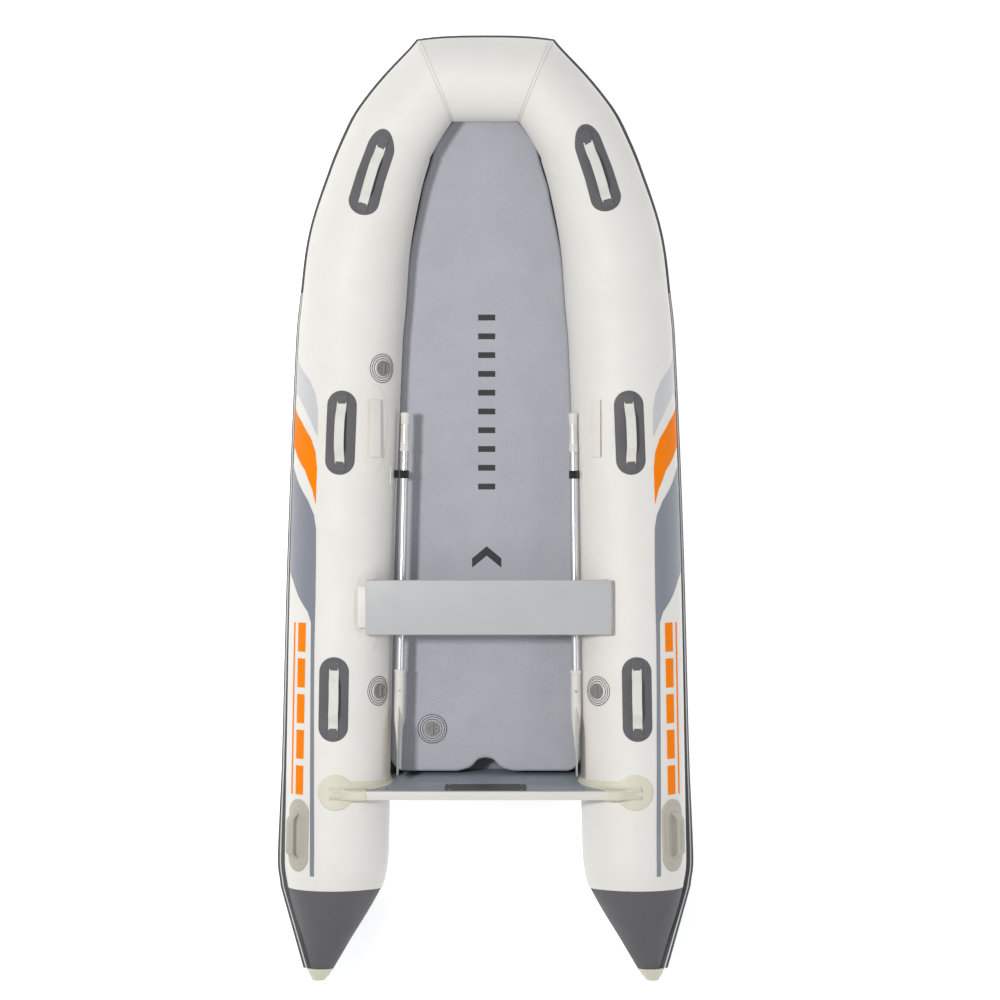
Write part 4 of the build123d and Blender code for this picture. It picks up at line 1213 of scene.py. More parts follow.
@dataclass
class Strake:
    """Rub strake: an extruded D with drawn grooves and a white bead, butted at the mitres."""

    skin: Skin
    depth: float = 0.028
    half_angle: float = 6.5
    aft_angle: float = -2.0
    mid_angle: float = -15.0
    bow_angle: float = -21.0
    bead_radius: float = 0.0030
    bead_end: float = 0.80          # the bead runs out into its groove here

    def middle(self, y: float) -> float:
        """Angle of the strake from the crown, in degrees.

        Args:
            y: place along the boat.

        Returns:
            The angle.
        """
        s = self.skin
        return 90 - on_line([(s.stern, self.aft_angle), (s.seam, self.aft_angle),
                             (s.seam + 0.47, self.mid_angle), (s.bow - 1.107, self.mid_angle - 6),
                             (s.bow - 0.526, self.bow_angle - 1), (s.mitre, self.bow_angle)], y)

    def half(self, y: float) -> float:
        """Half of the strake's width at y, in degrees."""
        r = self.skin.radius(y)
        return self.half_angle * self.skin.tube_radius / max(r, self.skin.tube_radius / 2)

    def profile(self) -> list[tuple[float, float]]:
        """Section: share of the half width, up being negative, and share of the depth.

        Returns:
            The points of the section, in order round it.
        """
        return [(1.0, -0.03), (0.4, -0.03), (-0.4, -0.03), (-1.0, -0.03), (-1.0, 0.12),
                (-0.97, 0.26), (-0.86, 0.48), (-0.80, 0.56), (-0.74, 0.52), (-0.68, 0.58),
                (-0.62, 0.74), (-0.50, 0.86), (-0.34, 0.95), (-0.2, 0.985), (-0.12, 0.93),
                (-0.05, 0.93), (0.05, 0.93), (0.12, 0.93), (0.2, 0.985), (0.34, 0.95),
                (0.50, 0.86), (0.62, 0.74), (0.68, 0.58), (0.74, 0.52), (0.80, 0.56),
                (0.86, 0.48), (0.97, 0.26), (1.0, 0.12)]

    def ring(self, side: Side, y: float) -> list[Vector]:
        """Section of the strake at y."""
        mid, half = self.middle(y), self.half(y)
        return [self.skin.at(side, y, mid + half * s, self.depth * h) for s, h in self.profile()]

    def bow_ring(self, share: float) -> list[Vector]:
        """Section of the bow strake, share of the way from its port end.

        Args:
            share: share of the way.

        Returns:
            The points of the section.
        """
        mid, half = self.middle(self.skin.mitre), self.half(self.skin.mitre)
        return [self.skin.bow_at(share, mid + half * s, self.depth * h)
                for s, h in self.profile()]

    def bead_point(self, side: Side, y: float) -> Vector:
        """Middle of the white bead in the strake's upper groove."""
        return self.skin.at(side, y, self.middle(y) - 0.74 * self.half(y), self.depth * 0.56)

    def build(self) -> None:
        """Makes the strakes and the beads let into them."""
        skin = self.skin
        places = steps(skin.cone_end + 0.0003, skin.seam, 0.02)[:-1]
        places += steps(skin.seam, skin.mitre, 0.02)
        for side in Side:
            rows = [self.ring(side, y) for y in places]
            piece = Shell().rings(array(rows)).build(f"{side.word}_strake_rubber",
                                                     Finishes.strake, sharp=28.0)
            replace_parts(piece, f"{side.word}_rub_strake")
            bead(f"{side.word}_strake_bead",
                 [self.bead_point(side, y) for y in places if y < self.bead_end],
                 self.bead_radius, Finishes.bead)
        rows = [self.bow_ring(k / 16) for k in range(17)]
        piece = Shell().rings(array(rows)).build("bow_strake_rubber", Finishes.strake,
                                                 sharp=28.0)
        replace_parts(piece, "bow_rub_strake")


# ---- sheets and mouldings glued on the skin ------------------------------------------------
Place = Callable[[float, float, float], Vector]


def pad(name: str, place: Place, outline: Sequence[tuple[float, float]], thick: float,
        finish: Finish, body: str = "root", edge: float = 0.0006, sink: float = 0.001,
        shares: int = 8, sharp: float = 50.0) -> bpy.types.Object:
    """Makes a patch with rounded edges.

    Args:
        name: the piece's name.
        place: gives the point at two distances along the surface and a lift off it.
        outline: its outline, as distances from its middle.
        thick: its thickness.
        finish: its finish.
        body: the body it rides on.
        edge: radius of its rounded edge.
        sink: how far its underside lies in the surface below.
        shares: rings between the edge and the middle.
        sharp: edges that turn by more than this many degrees stay crisp.

    Returns:
        The new object.
    """
    reach = min(max(abs(u) for u, _ in outline), max(abs(v) for _, v in outline))
    inner = [1 - edge / reach] + [1 - edge / reach - k / shares for k in range(1, shares)]
    inner = [s for s in inner if s > 0.03] + [0.02]
    levels = [(s, -sink) for s in reversed(inner)] + [(1.0, -sink), (1.0, thick - edge)]
    levels += [(1 - edge / reach * 0.3, thick - edge * 0.3)]
    levels += [(s, thick) for s in inner]
    rows = [[place(u * s, v * s, lift) for u, v in outline] for s, lift in levels]
    return Shell().rings(array(rows)).build(name, finish, body, sharp)


def lathe(name: str, start: Vector, axis: Vector, profile: Sequence[tuple[float, float]],
          finish: Finish, body: str = "root", count: int = 48, sharp: float = 35.0
          ) -> bpy.types.Object:
    """Makes a turned piece.

    Args:
        name: the piece's name.
        start: where the axis starts.
        axis: direction of the axis.
        profile: distance along the axis and radius, from one end to the other.
        finish: its finish.
        body: the body it rides on.
        count: faces round it.
        sharp: edges that turn by more than this many degrees stay crisp.

    Returns:
        The new object.
    """
    across = axis.orthogonal().normalized()
    other = axis.cross(across)
    rows = [[start + axis * s + (across * c + other * d) * r for c, d in circle(count)]
            for s, r in profile]
    return Shell().rings(array(rows)).build(name, finish, body, sharp)


def ribbon(name: str, path: Sequence[Vector], across: Sequence[Vector], width: float,
           thick: float, finish: Finish, body: str = "root") -> bpy.types.Object:
    """Makes a band of webbing along a path.

    Args:
        name: the piece's name.
        path: its middle line.
        across: direction across the band at each point.
        width: its width.
        thick: its thickness.
        finish: its finish.
        body: the body it rides on.

    Returns:
        The new object.
    """
    half, soft = width / 2, thick / 2
    section = [(-half, 0.0), (-half + soft * 0.3, soft * 0.7), (-half + soft, soft)]
    section += [(half * s, soft) for s in (-0.6, -0.2, 0.2, 0.6)]
    section += [(half - soft, soft), (half - soft * 0.3, soft * 0.7)]
    section += [(-x, -z) for x, z in section]
    rows = []
    for i, p in enumerate(path):
        tangent = (path[min(i + 1, len(path) - 1)] - path[max(i - 1, 0)]).normalized()
        side_way = (across[i] - tangent * across[i].dot(tangent)).normalized()
        out = tangent.cross(side_way)
        rows.append([p + side_way * x + out * z for x, z in section])
    return Shell().rings(array(rows)).build(name, finish, body, 60.0)


def well(piece: bpy.types.Object, start: Vector, axis: Vector, r: float, depth: float) -> None:
    """Sinks a round well into a piece, for a valve's barrel.

    Args:
        piece: the piece, changed in place.
        start: middle of the well's mouth.
        axis: direction out of the well.
        r: its radius.
        depth: its depth.
    """
    tool = bpy.data.meshes.new("well")
    made = bmesh.new()
    bmesh.ops.create_cone(made, cap_ends=True, segments=48, radius1=r, radius2=r,
                          depth=depth + 0.02)
    turn = axis.to_track_quat("Z", "Y").to_matrix().to_4x4()
    made.transform(Matrix.Translation(start + axis * (0.01 - depth / 2)) @ turn)
    made.to_mesh(tool)
    made.free()
    cutter = in_scene("well", tool)
    cut = piece.modifiers.new("well", "BOOLEAN")
    cut.operation, cut.solver, cut.object = "DIFFERENCE", "EXACT", cutter
    mesh = evaluated(piece)
    piece.modifiers.clear()
    piece.data = mesh
    bpy.data.objects.remove(cutter)


@dataclass
class Floor:
    """Drop-stitch deck mat and the fabric hull below it."""

    skin: Skin
    below_centre: float = 0.0445
    thickness: float = 0.070
    rise_share: float = 0.70
    front_setback: float = 0.285
    rear: float = -0.974
    side_clear: float = 0.002
    edge: float = 0.011
    notch_width: float = 0.206
    notch_depth: float = 0.050
    rear_corner: float = 0.060
    nose_corner: float = 0.025
    keel_clear: float = 0.0025
    hull_thick: float = 0.0012
    hull_rear: float = -0.982
    hull_bend: float = 0.345        # setbacks: where the hull leaves the tubes, and where it ends
    hull_front: float = 0.220
    hull_tilts: tuple[float, float] = (35.0, 12.0)  # glue line's angle from below, aft and fore
    notch_length: float = 0.30
    hull_slack: float = 0.02        # how round the vee's bottom is, as a share of its half width
    mark_lift: float = 0.0004
    mark_middle: float = 0.004

    def top(self, y: float) -> float:
        """Height of the deck's top."""
        return self.skin.tube_radius - self.below_centre + self.rise_share * self.skin.rise(y)

    def half(self, y: float) -> float:
        """Half width of the deck, with its corners rounded.

        Args:
            y: place along the boat.

        Returns:
            The half width.
        """
        skin, front = self.skin, self.skin.bow - self.front_setback
        spot = skin.spot(Side.STARBOARD, y)
        level = min(self.top(y), spot.centre.z)
        drop = spot.centre.z - level
        before, after = (skin.centre(Side.STARBOARD, y + d) for d in (-0.001, 0.001))
        along = (after - before).normalized()
        reach = sqrt(spot.radius ** 2 - drop ** 2) / hypot(along.x, along.y) / max(along.y, 0.3)
        half = spot.centre.x - reach - self.side_clear
        for corner, away in ((self.rear_corner, y - self.rear), (self.nose_corner, front - y)):
            if away < corner:
                half -= corner - sqrt(max(corner ** 2 - (corner - away) ** 2, 0.0))
        return half

    def grid(self, lower: bool) -> np.ndarray:
        """Points of the deck's top or bottom face.

        Args:
            lower: whether it is the bottom face.

        Returns:
            Points, shape (rows, columns, 3).
        """
        r, front = self.edge, self.skin.bow - self.front_setback
        near = [0.0, 0.10 * r, 0.32 * r, 0.62 * r, r]
        ys = [self.rear + d for d in near]
        ys += [self.rear + r + 0.01 * k for k in range(1, 10)]
        ys += steps(ys[-1], front - r, 0.02)[1:] + [front - d for d in reversed(near[:-1])]
        rows = []
        for y in ys:
            half = self.half(y)
            xs = [-half + d for d in near]
            xs += [(half - r) * q for q in np.linspace(-1, 1, 67)[1:-1]]
            xs += [half - d for d in reversed(near)]
            row = []
            for x in xs:
                bell = on_line([(0.0, 1.0), (0.28, 0.85), (0.55, 0.30), (1.0, 0.0)],
                               min(abs(x) / (self.notch_width / 2), 1.0))
                shift = self.notch_depth * bell * (1 - ease((y - self.rear) / self.notch_length))
                drops = [r - sqrt(r * r - (r - min(d, r)) ** 2)
                         for d in (half - abs(x), min(y - self.rear, front - y))]
                drop = min(hypot(*drops), r)
                z = self.top(y) - (self.thickness - drop if lower else drop)
                row.append((x, y + shift, z))
            rows.append(row)
        return np.array(rows)

    def build_deck(self) -> bpy.types.Object:
        """The mat, one sealed cushion.

        Returns:
            The piece.
        """
        piece = Shell().slab(self.grid(False), self.grid(True)).build("deck_mat", Finishes.deck)
        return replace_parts(piece, "deck_top_sheet", "deck_bottom_sheet", "deck_side_wall")

    def marks(self) -> None:
        """Plain printed bars and a chevron down the middle of the deck."""
        shell, x = Shell(), self.mark_middle
        half, long, pitch, foremost = 0.032, 0.022, 0.0705, 0.74
        for y in (foremost - pitch * k for k in range(10)):
            self.flat_mark(shell, [(x - half, y), (x + half, y)],
                           [(x - half, y - long), (x + half, y - long)])
        for end in (x - 0.055, x + 0.055):
            self.flat_mark(shell, [(x, -0.130), (end, -0.175)], [(x, -0.165), (end, -0.210)])
        shell.build("deck_printed_bars", Finishes.ink)

    def flat_mark(self, shell: Shell, upper: list[tuple[float, float]],
                  lower: list[tuple[float, float]]) -> None:
        """Adds a thin printed mark on the deck between two edges.

        Args:
            shell: what it is added to.
            upper: ends of its front edge.
            lower: ends of its rear edge.
        """
        grids = []
        for lift in (self.mark_lift, -self.mark_lift):
            rows = []
            for t in np.linspace(0, 1, 3):
                row = []
                for s in np.linspace(0, 1, 5):
                    a = [upper[0][k] + (upper[1][k] - upper[0][k]) * s for k in (0, 1)]
                    b = [lower[0][k] + (lower[1][k] - lower[0][k]) * s for k in (0, 1)]
                    x, y = (a[k] + (b[k] - a[k]) * t for k in (0, 1))
                    row.append((x, y, self.top(y) + lift))
                rows.append(row)
            grids.append(np.array(rows))
        shell.slab(*grids)

    def keel(self, y: float) -> float:
        """Underside of the hull fabric on the centreline.

        Args:
            y: place along the boat.

        Returns:
            The height.
        """
        b = self.skin.bow
        line = [(self.skin.seam, 0.0), (b - 1.150, 0.0), (b - 0.745, 0.068), (b - 0.526, 0.37),
                (b - 0.345, 0.80), (b - 0.285, 0.985), (b - 0.220, 1.265)]
        return self.keel_clear + self.skin.bow_rise * on_line(line, y)

    def hull_edge(self, y: float) -> tuple[float, float]:
        """Half width and height of the line where the hull fabric is glued to the tube.

        Args:
            y: place along the boat.

        Returns:
            Half width and height.
        """
        spot = self.skin.spot(Side.STARBOARD, y)
        share = min(1.0, self.skin.rise(y) / (0.8 * self.skin.bow_rise))
        aft, fore = self.hull_tilts
        tilt = radians(aft + (fore - aft) * share)
        out = Vector((spot.along.y, -spot.along.x, 0)).normalized()
        place = spot.centre - (spot.up * cos(tilt) + out * sin(tilt)) * (spot.radius + 0.0003)
        return place.x, place.z

    def build_hull(self) -> bpy.types.Object:
        """Hull fabric, drawn tight over the air keel from tube to tube.

        Returns:
            The piece.
        """
        bend, front = self.skin.bow - self.hull_bend, self.skin.bow - self.hull_front
        slack, thick, grids = self.hull_slack, self.hull_thick, []
        ys = steps(self.hull_rear, bend, 0.03) + steps(bend, front, 0.02)[1:]
        for lift in (thick, 0.0):
            rows = []
            for y in ys:
                half, edge = self.hull_edge(min(y, bend))
                low = self.keel(y)
                if y > bend:
                    share = (y - bend) / (front - bend)
                    half *= 1 - 0.5 * share
                    edge += (low + thick - edge) * share
                edge -= thick
                row = []
                for q in np.linspace(-1, 1, 49):
                    vee = (sqrt(q * q + slack ** 2) - slack) / (sqrt(1 + slack ** 2) - slack)
                    row.append((half * q, y, low + (edge - low) * vee + lift))
                rows.append(row)
            grids.append(np.array(rows))
        piece = Shell().slab(*grids).build("hull_fabric", Finishes.hull)
        spans = np.linalg.norm(np.diff(grids[0], axis=1), axis=2).sum(axis=1)
        runs = np.linalg.norm(np.diff(grids[0][:, 24], axis=0), axis=1)
        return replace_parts(piece, "bottom_fabric")

    def build(self) -> None:
        """Makes the deck, its marks and the hull."""
        self.build_deck()
        self.marks()
        self.build_hull()


@dataclass
class Fittings:
    """Handles, carry handles and rail patches glued on the tubes."""

    skin: Skin
    handle_arc: float = 0.0136
    carry_arc: float = 0.1545
    rail_arc: float = 0.112
    handle_places: tuple[float, ...] = (-0.691, 0.292, 1.249)
    carry_place: float = -1.201
    rail_places: tuple[float, ...] = (-0.351, 0.308)
    patch_size: tuple[float, float] = (0.312, 0.111)
    strap_width: float = 0.036
    strap_thick: float = 0.0024
    patch_thick: float = 0.0014
    loop_half: float = 0.113
    loop_rise: float = 0.0212
    loop_start: float = 0.42        # share of the half loop that runs level
    loop_fall: float = 0.46
    tab_place: float = 0.1225
    carry_half: float = 0.089       # the carry handle's grip: half length, rise and thickness
    carry_rise: float = 0.041
    carry_level: float = 0.62       # share of the half grip that runs level
    carry_grip: tuple[float, float] = (0.015, 0.0055)
    carry_bend: float = 2.2

    def place(self, side: Side, y: float, arc: float) -> Place:
        """Function for points near a place on the skin."""
        return lambda u, v, lift: self.skin.local(side, y, arc, u, v, lift)

    def handle(self, side: Side, y: float, index: int) -> tuple[bpy.types.Object, ...]:
        """Patch, webbing loop and sewn tabs of one handle.

        Args:
            side: which side of the boat.
            y: place of its middle.
            index: its number, from aft.

        Returns:
            The patch and the webbing.
        """
        name = f"{side.word}_handle_{index}"
        place = self.place(side, y, self.handle_arc)
        long, wide = self.patch_size
        patch = pad(name + "_patch", place, pill_ring((long - wide) / 2, wide / 2, 96),
                    self.patch_thick, Finishes.grey, shares=12)
        path, across = [], []
        for t in np.linspace(-1, 1, 61):
            u, low = self.loop_half * t, 0.0027
            share = ease((abs(t) - self.loop_start) / self.loop_fall)
            bow = 0.003 * cos(pi * t / 2) * (1 if index % 2 else -1)
            path.append(place(u, bow, low + self.loop_rise * (1 - share)))
            across.append(place(u, bow + 0.01, low) - place(u, bow - 0.01, low))
        strap = ribbon(name + "_webbing", path, across, self.strap_width, self.strap_thick,
                       Finishes.webbing)
        out = self.skin.normal(side, y, degrees(self.handle_arc / 0.19))
        spots = []
        for word, middle in (("aft", -self.tab_place), ("fore", self.tab_place)):
            pad(f"{name}_tab_{word}",
                lambda u, v, lift, m=middle: place(m + u, v, 0.0030 + lift),
                rounded_box(0.0200, 0.0215, 0.004), self.patch_thick, Finishes.grey,
                sink=0.0024, shares=5)
            for u, v, du, dv in self.box_stitches(0.013, 0.0145, 0.0042):
                spot = place(middle + u, v, 0.0044)
                along = place(middle + u + du, v + dv, 0.0044) - spot
                spots.append((spot, along.normalized(), out))
        studs(name + "_stitches", spots, (0.0032, 0.0011, 0.0009), Finishes.dark_thread)
        return patch, strap

    @staticmethod
    def box_stitches(half_long: float, half_wide: float, step: float
                     ) -> list[tuple[float, float, float, float]]:
        """Places and directions of a box of stitches with its crossed diagonals.

        Args:
            half_long: half length of the box.
            half_wide: half width of the box.
            step: pitch of the stitches.

        Returns:
            Middle and direction of each stitch.
        """
        a, b = half_long, half_wide
        lines = [((-a, -b), (a, -b)), ((a, -b), (a, b)), ((a, b), (-a, b)), ((-a, b), (-a, -b)),
                 ((-a, -b), (a, b)), ((-a, b), (a, -b))]
        found = []
        for (u0, v0), (u1, v1) in lines:
            length = hypot(u1 - u0, v1 - v0)
            count = max(2, round(length / step))
            for k in range(count):
                s = (k + 0.5) / count
                found.append((u0 + (u1 - u0) * s, v0 + (v1 - v0) * s,
                              (u1 - u0) / length * 0.003, (v1 - v0) / length * 0.003))
        return found

    def carry(self, side: Side) -> None:
        """Moulded carry handle: base with rounded edges, ribs and a stout grip.

        Args:
            side: which side of the boat.
        """
        place = self.place(side, self.carry_place, self.carry_arc)
        name = f"{side.word}_carry"
        base = pad(name + "_base", place, pill_ring(0.0845, 0.052, 96), 0.0075,
                   Finishes.carry, edge=0.003, shares=12)
        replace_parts(base, f"{side.word}_carry_handle")
        pad(name + "_step", place, pill_ring(0.078, 0.036, 80), 0.0095, Finishes.carry,
            edge=0.0018, shares=10)
        rows, bend, fall = [], self.carry_bend, 1 - self.carry_level
        wide, thick = self.carry_grip
        for t in np.linspace(-1, 1, 45):
            past = max(0.0, (abs(t) - self.carry_level) / fall)
            top = self.carry_rise * (1 - past ** bend)
            slope = -self.carry_rise * bend * past ** (bend - 1) / fall / self.carry_half
            slope *= 1 if t > 0 else -1
            long = hypot(1, slope)
            rows.append([place(self.carry_half * t - slope / long * thick * squared(s, 0.7),
                               wide * squared(c, 0.7),
                               top + thick * squared(s, 0.7) / long) for c, s in circle(20)])
        Shell().rings(array(rows)).build(name + "_grip", Finishes.carry)
        spots, lift = [], self.carry_rise + thick + 0.0002
        for u in np.linspace(-0.046, 0.046, 12):
            spot = place(u, 0, lift)
            spots.append((spot, (place(u, 0.01, lift) - spot).normalized(),
                          (place(u, 0, 0.06) - spot).normalized()))
        studs(name + "_ribs", spots, (0.026, 0.004, 0.0022), Finishes.carry)

    def rail_patches(self) -> None:
        """White ovals that carry the bench rails."""
        made = []
        for side in Side:
            for k, y in enumerate(self.rail_places):
                outline = [(0.168 * c, 0.065 * s) for c, s in circle(72)]
                made.append(pad(f"{side.word}_rail_patch_{k}",
                                self.place(side, y, -self.rail_arc), outline, 0.0013,
                                Finishes.tube, shares=12))
        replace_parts(made[0], "seat_rail_patches")

    def build(self) -> None:
        """Makes every handle and patch."""
        for side in Side:
            fore = 0.0215 + 0.0065 * side.value
            made = [self.handle(side, y + (fore if y > 1 else 0), k)
                    for k, y in enumerate(self.handle_places)]
            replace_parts(made[0][0], f"{side.word}_handle_patches")
            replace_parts(made[0][1], f"{side.word}_handle_straps")
            self.carry(side)
        self.rail_patches()


@dataclass
class Holder:
    """Rubber moulding that ties the transom to a tube: pad, boss over the board, two fillets."""

    side: Side
    skin: Skin
    pad_radius: float = 0.066
    pad_y: float = -1.034
    deck_top: float = 0.150
    face_y: float = -0.994
    rake: float = 7.4
    board: float = 0.027
    boss_low: float = 0.352         # the boss's underside, and its top outboard and inboard
    boss_tops: tuple[float, float] = (0.396, 0.4285)
    start_angle: float = 6.0        # the flanges run from just outboard of the crown
    end_angle: float = -94.0

    def face(self, z: float) -> float:
        """Place of the board's inner face at a height."""
        return self.face_y - (z - self.deck_top) * tan(radians(self.rake))

    def fillet(self, name: str, ahead: bool) -> bpy.types.Object:
        """Flange between the tube and one face of the board, from the crown to the flank.

        Args:
            name: the piece's name.
            ahead: whether it lies on the board's inner face.

        Returns:
            The piece.
        """
        rows = []
        for angle in np.linspace(self.start_angle, self.end_angle, 44):
            share = (self.start_angle - angle) / (self.start_angle - self.end_angle)
            z = self.skin.at(self.side, self.pad_y, angle).z
            y0 = self.face(z) - (0.0 if ahead else self.board)
            wide = (0.034 - 0.016 * ease(share)) if ahead else (0.022 - 0.010 * ease(share))
            way = 1 if ahead else -1
            tall = 0.016 + 0.006 * sin(pi * share)
            section = [(-0.004, -0.002), (-0.004, tall), (0.0015, tall), (0.005, tall * 0.62),
                       (0.35 * wide, 0.006), (0.65 * wide, 0.0036), (0.95 * wide, 0.0028),
                       (wide, 0.0016), (wide, -0.002)]
            if share > 0.9:
                section = [(u, min(v, 0.002 + (1 - share) * 0.2)) for u, v in section]
            rows.append([self.skin.at(self.side, y0 + way * u, angle, v) for u, v in section])
        return Shell().rings(array(rows)).build(name, Finishes.cream, sharp=70.0)

    def boss(self, name: str) -> bpy.types.Object:
        """Rounded block that grips the end of the board's top.

        Args:
            name: the piece's name.

        Returns:
            The piece.
        """
        x0, x1 = self.skin.half_spacing - 0.006, self.skin.half_spacing - 0.118
        rows = []
        for share in np.linspace(0, 1, 22):
            x = x0 + (x1 - x0) * share
            outer, inner = self.boss_tops
            top = outer + (inner - outer) * ease(share * 1.7)
            half = 0.0195 + 0.006 * (1 - ease(share * 2.2))
            end = 1.0 if share < 0.97 else 0.93
            middle = self.face(top) - self.board / 2
            low, row = self.boss_low, []
            for c, s in circle(32, pi / 32):
                u = squared(c, 0.35) * half * end
                v = squared(s, 0.35)
                z = (top + low) / 2 + v * (top - low) / 2 * end
                shift = -(z - top) * tan(radians(self.rake))
                row.append(Vector((self.side.value * x, middle + u + shift, z)))
            rows.append(row)
        return Shell().rings(array(rows)).build(name, Finishes.cream, sharp=50.0)

    def build(self) -> None:
        """Makes the holder."""
        name = f"{self.side.word}_holder"
        base = pad(name + "_pad",
                   lambda u, v, lift: self.skin.local(self.side, self.pad_y, 0.0, u, v, lift),
                   [(self.pad_radius * c, self.pad_radius * s) for c, s in circle(96)],
                   0.005, Finishes.cream, edge=0.0022, shares=10)
        self.fillet(name + "_fore_flange", True)
        self.fillet(name + "_aft_flange", False)
        self.boss(name + "_boss")
        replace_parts(base, f"{self.side.word}_transom_holder")


def rounded_box(half_long: float, half_wide: float, corner: float) -> list[tuple[float, float]]:
    """Outline of a rectangle with rounded corners.

    Args:
        half_long: half its length.
        half_wide: half its width.
        corner: radius of its corners.

    Returns:
        Points round it.
    """
    points = []
    for c, s in circle(64, pi / 64):
        points.append(((half_long - corner) * (1 if c > 0 else -1) + corner * c,
                       (half_wide - corner) * (1 if s > 0 else -1) + corner * s))
    return points


@dataclass
class Valve:
    """Recessed air valve: flange, printed rings, barrel, and a ribbed screw cap."""

    name: str
    point: Vector
    out: Vector
    ahead: Vector
    place: Place
    finish: Finish = Finishes.valve
    barrel_radius: float = 0.031
    cap_radius: float = 0.0285
    depth: float = 0.030

    def at(self, r: float, c: float, s: float, lift: float) -> Vector:
        """Point of the flange or barrel: flat within the barrel, on the skin outside it.

        Args:
            r: distance from the valve's middle.
            c: cosine of the angle from ahead.
            s: its sine.
            lift: height above the flange's seat.

        Returns:
            The point.
        """
        other = self.out.cross(self.ahead)
        flat = self.point + (self.ahead * c + other * s) * r + self.out * lift
        if r <= self.barrel_radius:
            return flat
        return self.place(r * c, r * s, lift)

    def build(self, host: bpy.types.Object) -> None:
        """Makes the valve and sinks its well in the host.

        Args:
            host: the tube skin or deck that it stands in.
        """
        well(host, self.point, self.out, self.barrel_radius + 0.0002, self.depth + 0.001)
        bore = self.barrel_radius - 0.004
        profile = [(0.001, -0.027), (0.010, -0.027), (0.016, -0.0268), (bore, -0.027),
                   (bore, 0.0), (bore, 0.0024), (self.barrel_radius, 0.0029), (0.034, 0.0027),
                   (0.040, 0.0029), (0.048, 0.0029), (0.054, 0.0025), (0.0553, 0.0014),
                   (0.0555, -0.0010), (0.044, -0.0012), (0.0325, -0.0012),
                   (self.barrel_radius, -0.003), (self.barrel_radius, -0.0299),
                   (0.016, -0.030), (0.001, -0.030)]
        rows = [[self.at(r, c, s, lift) for c, s in circle(64)] for r, lift in profile]
        piece = Shell().rings(array(rows)).build(self.name + "_moulding", self.finish)
        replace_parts(piece, self.name + "_body")
        for k, (r, lift) in enumerate(((0.0535, 0.0026), (0.0455, 0.0029), (0.0365, 0.0028))):
            loop = [self.at(r, c, s, lift) for c, s in circle(72)]
            bead(f"{self.name}_ring_{k}", loop, 0.0013, Finishes.ring, closed=True, sides=6)
        self.build_cap()

    def build_cap(self) -> None:
        """Cap with a raised bar, radial ribs and a knurled edge."""
        seat, r = 0.0032, self.cap_radius
        body = self.name + "_cap"
        other = self.out.cross(self.ahead)
        profile = [(0.001, -0.0066), (r * 0.6, -0.0066), (0.0266, -0.0066),
                   (0.0266, seat - 0.0004), (0.0283, seat), (r, seat + 0.0006),
                   (r, seat + 0.0038), (r - 0.0008, seat + 0.0048), (r - 0.002, seat + 0.005),
                   (r - 0.004, seat + 0.005), (r - 0.005, seat + 0.0036),
                   (0.012, seat + 0.0034), (0.001, seat + 0.0034)]
        rows = [[self.point + (self.ahead * c + other * s) * q + self.out * lift
                 for c, s in circle(72)] for q, lift in profile]
        piece = Shell().rings(array(rows)).build(body + "_shell", Finishes.valve_cap, body)
        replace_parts(piece, body)
        pad(body + "_bar", lambda u, v, lift: self.point + self.ahead * u + other * v
            + self.out * (seat + 0.0034 + lift), pill_ring(0.0188, 0.0035, 40), 0.0064,
            Finishes.valve_cap, body, edge=0.0012, sink=0.001, shares=3)
        spots = []
        for c, s in circle(24, pi / 24):
            way = self.ahead * c + other * s
            if abs(s) > 0.22:
                spots.append((self.point + way * 0.0150 + self.out * (seat + 0.0034), way,
                              self.out))
        studs(body + "_ribs", spots, (0.013, 0.0013, 0.0022), Finishes.valve_cap, body)
        spots = []
        for c, s in circle(48):
            way = self.ahead * c + other * s
            spots.append((self.point + way * (r - 0.0002) + self.out * (seat + 0.0023),
                          self.out, way))
        studs(body + "_knurls", spots, (0.0036, 0.0014, 0.0012), Finishes.valve_cap, body)


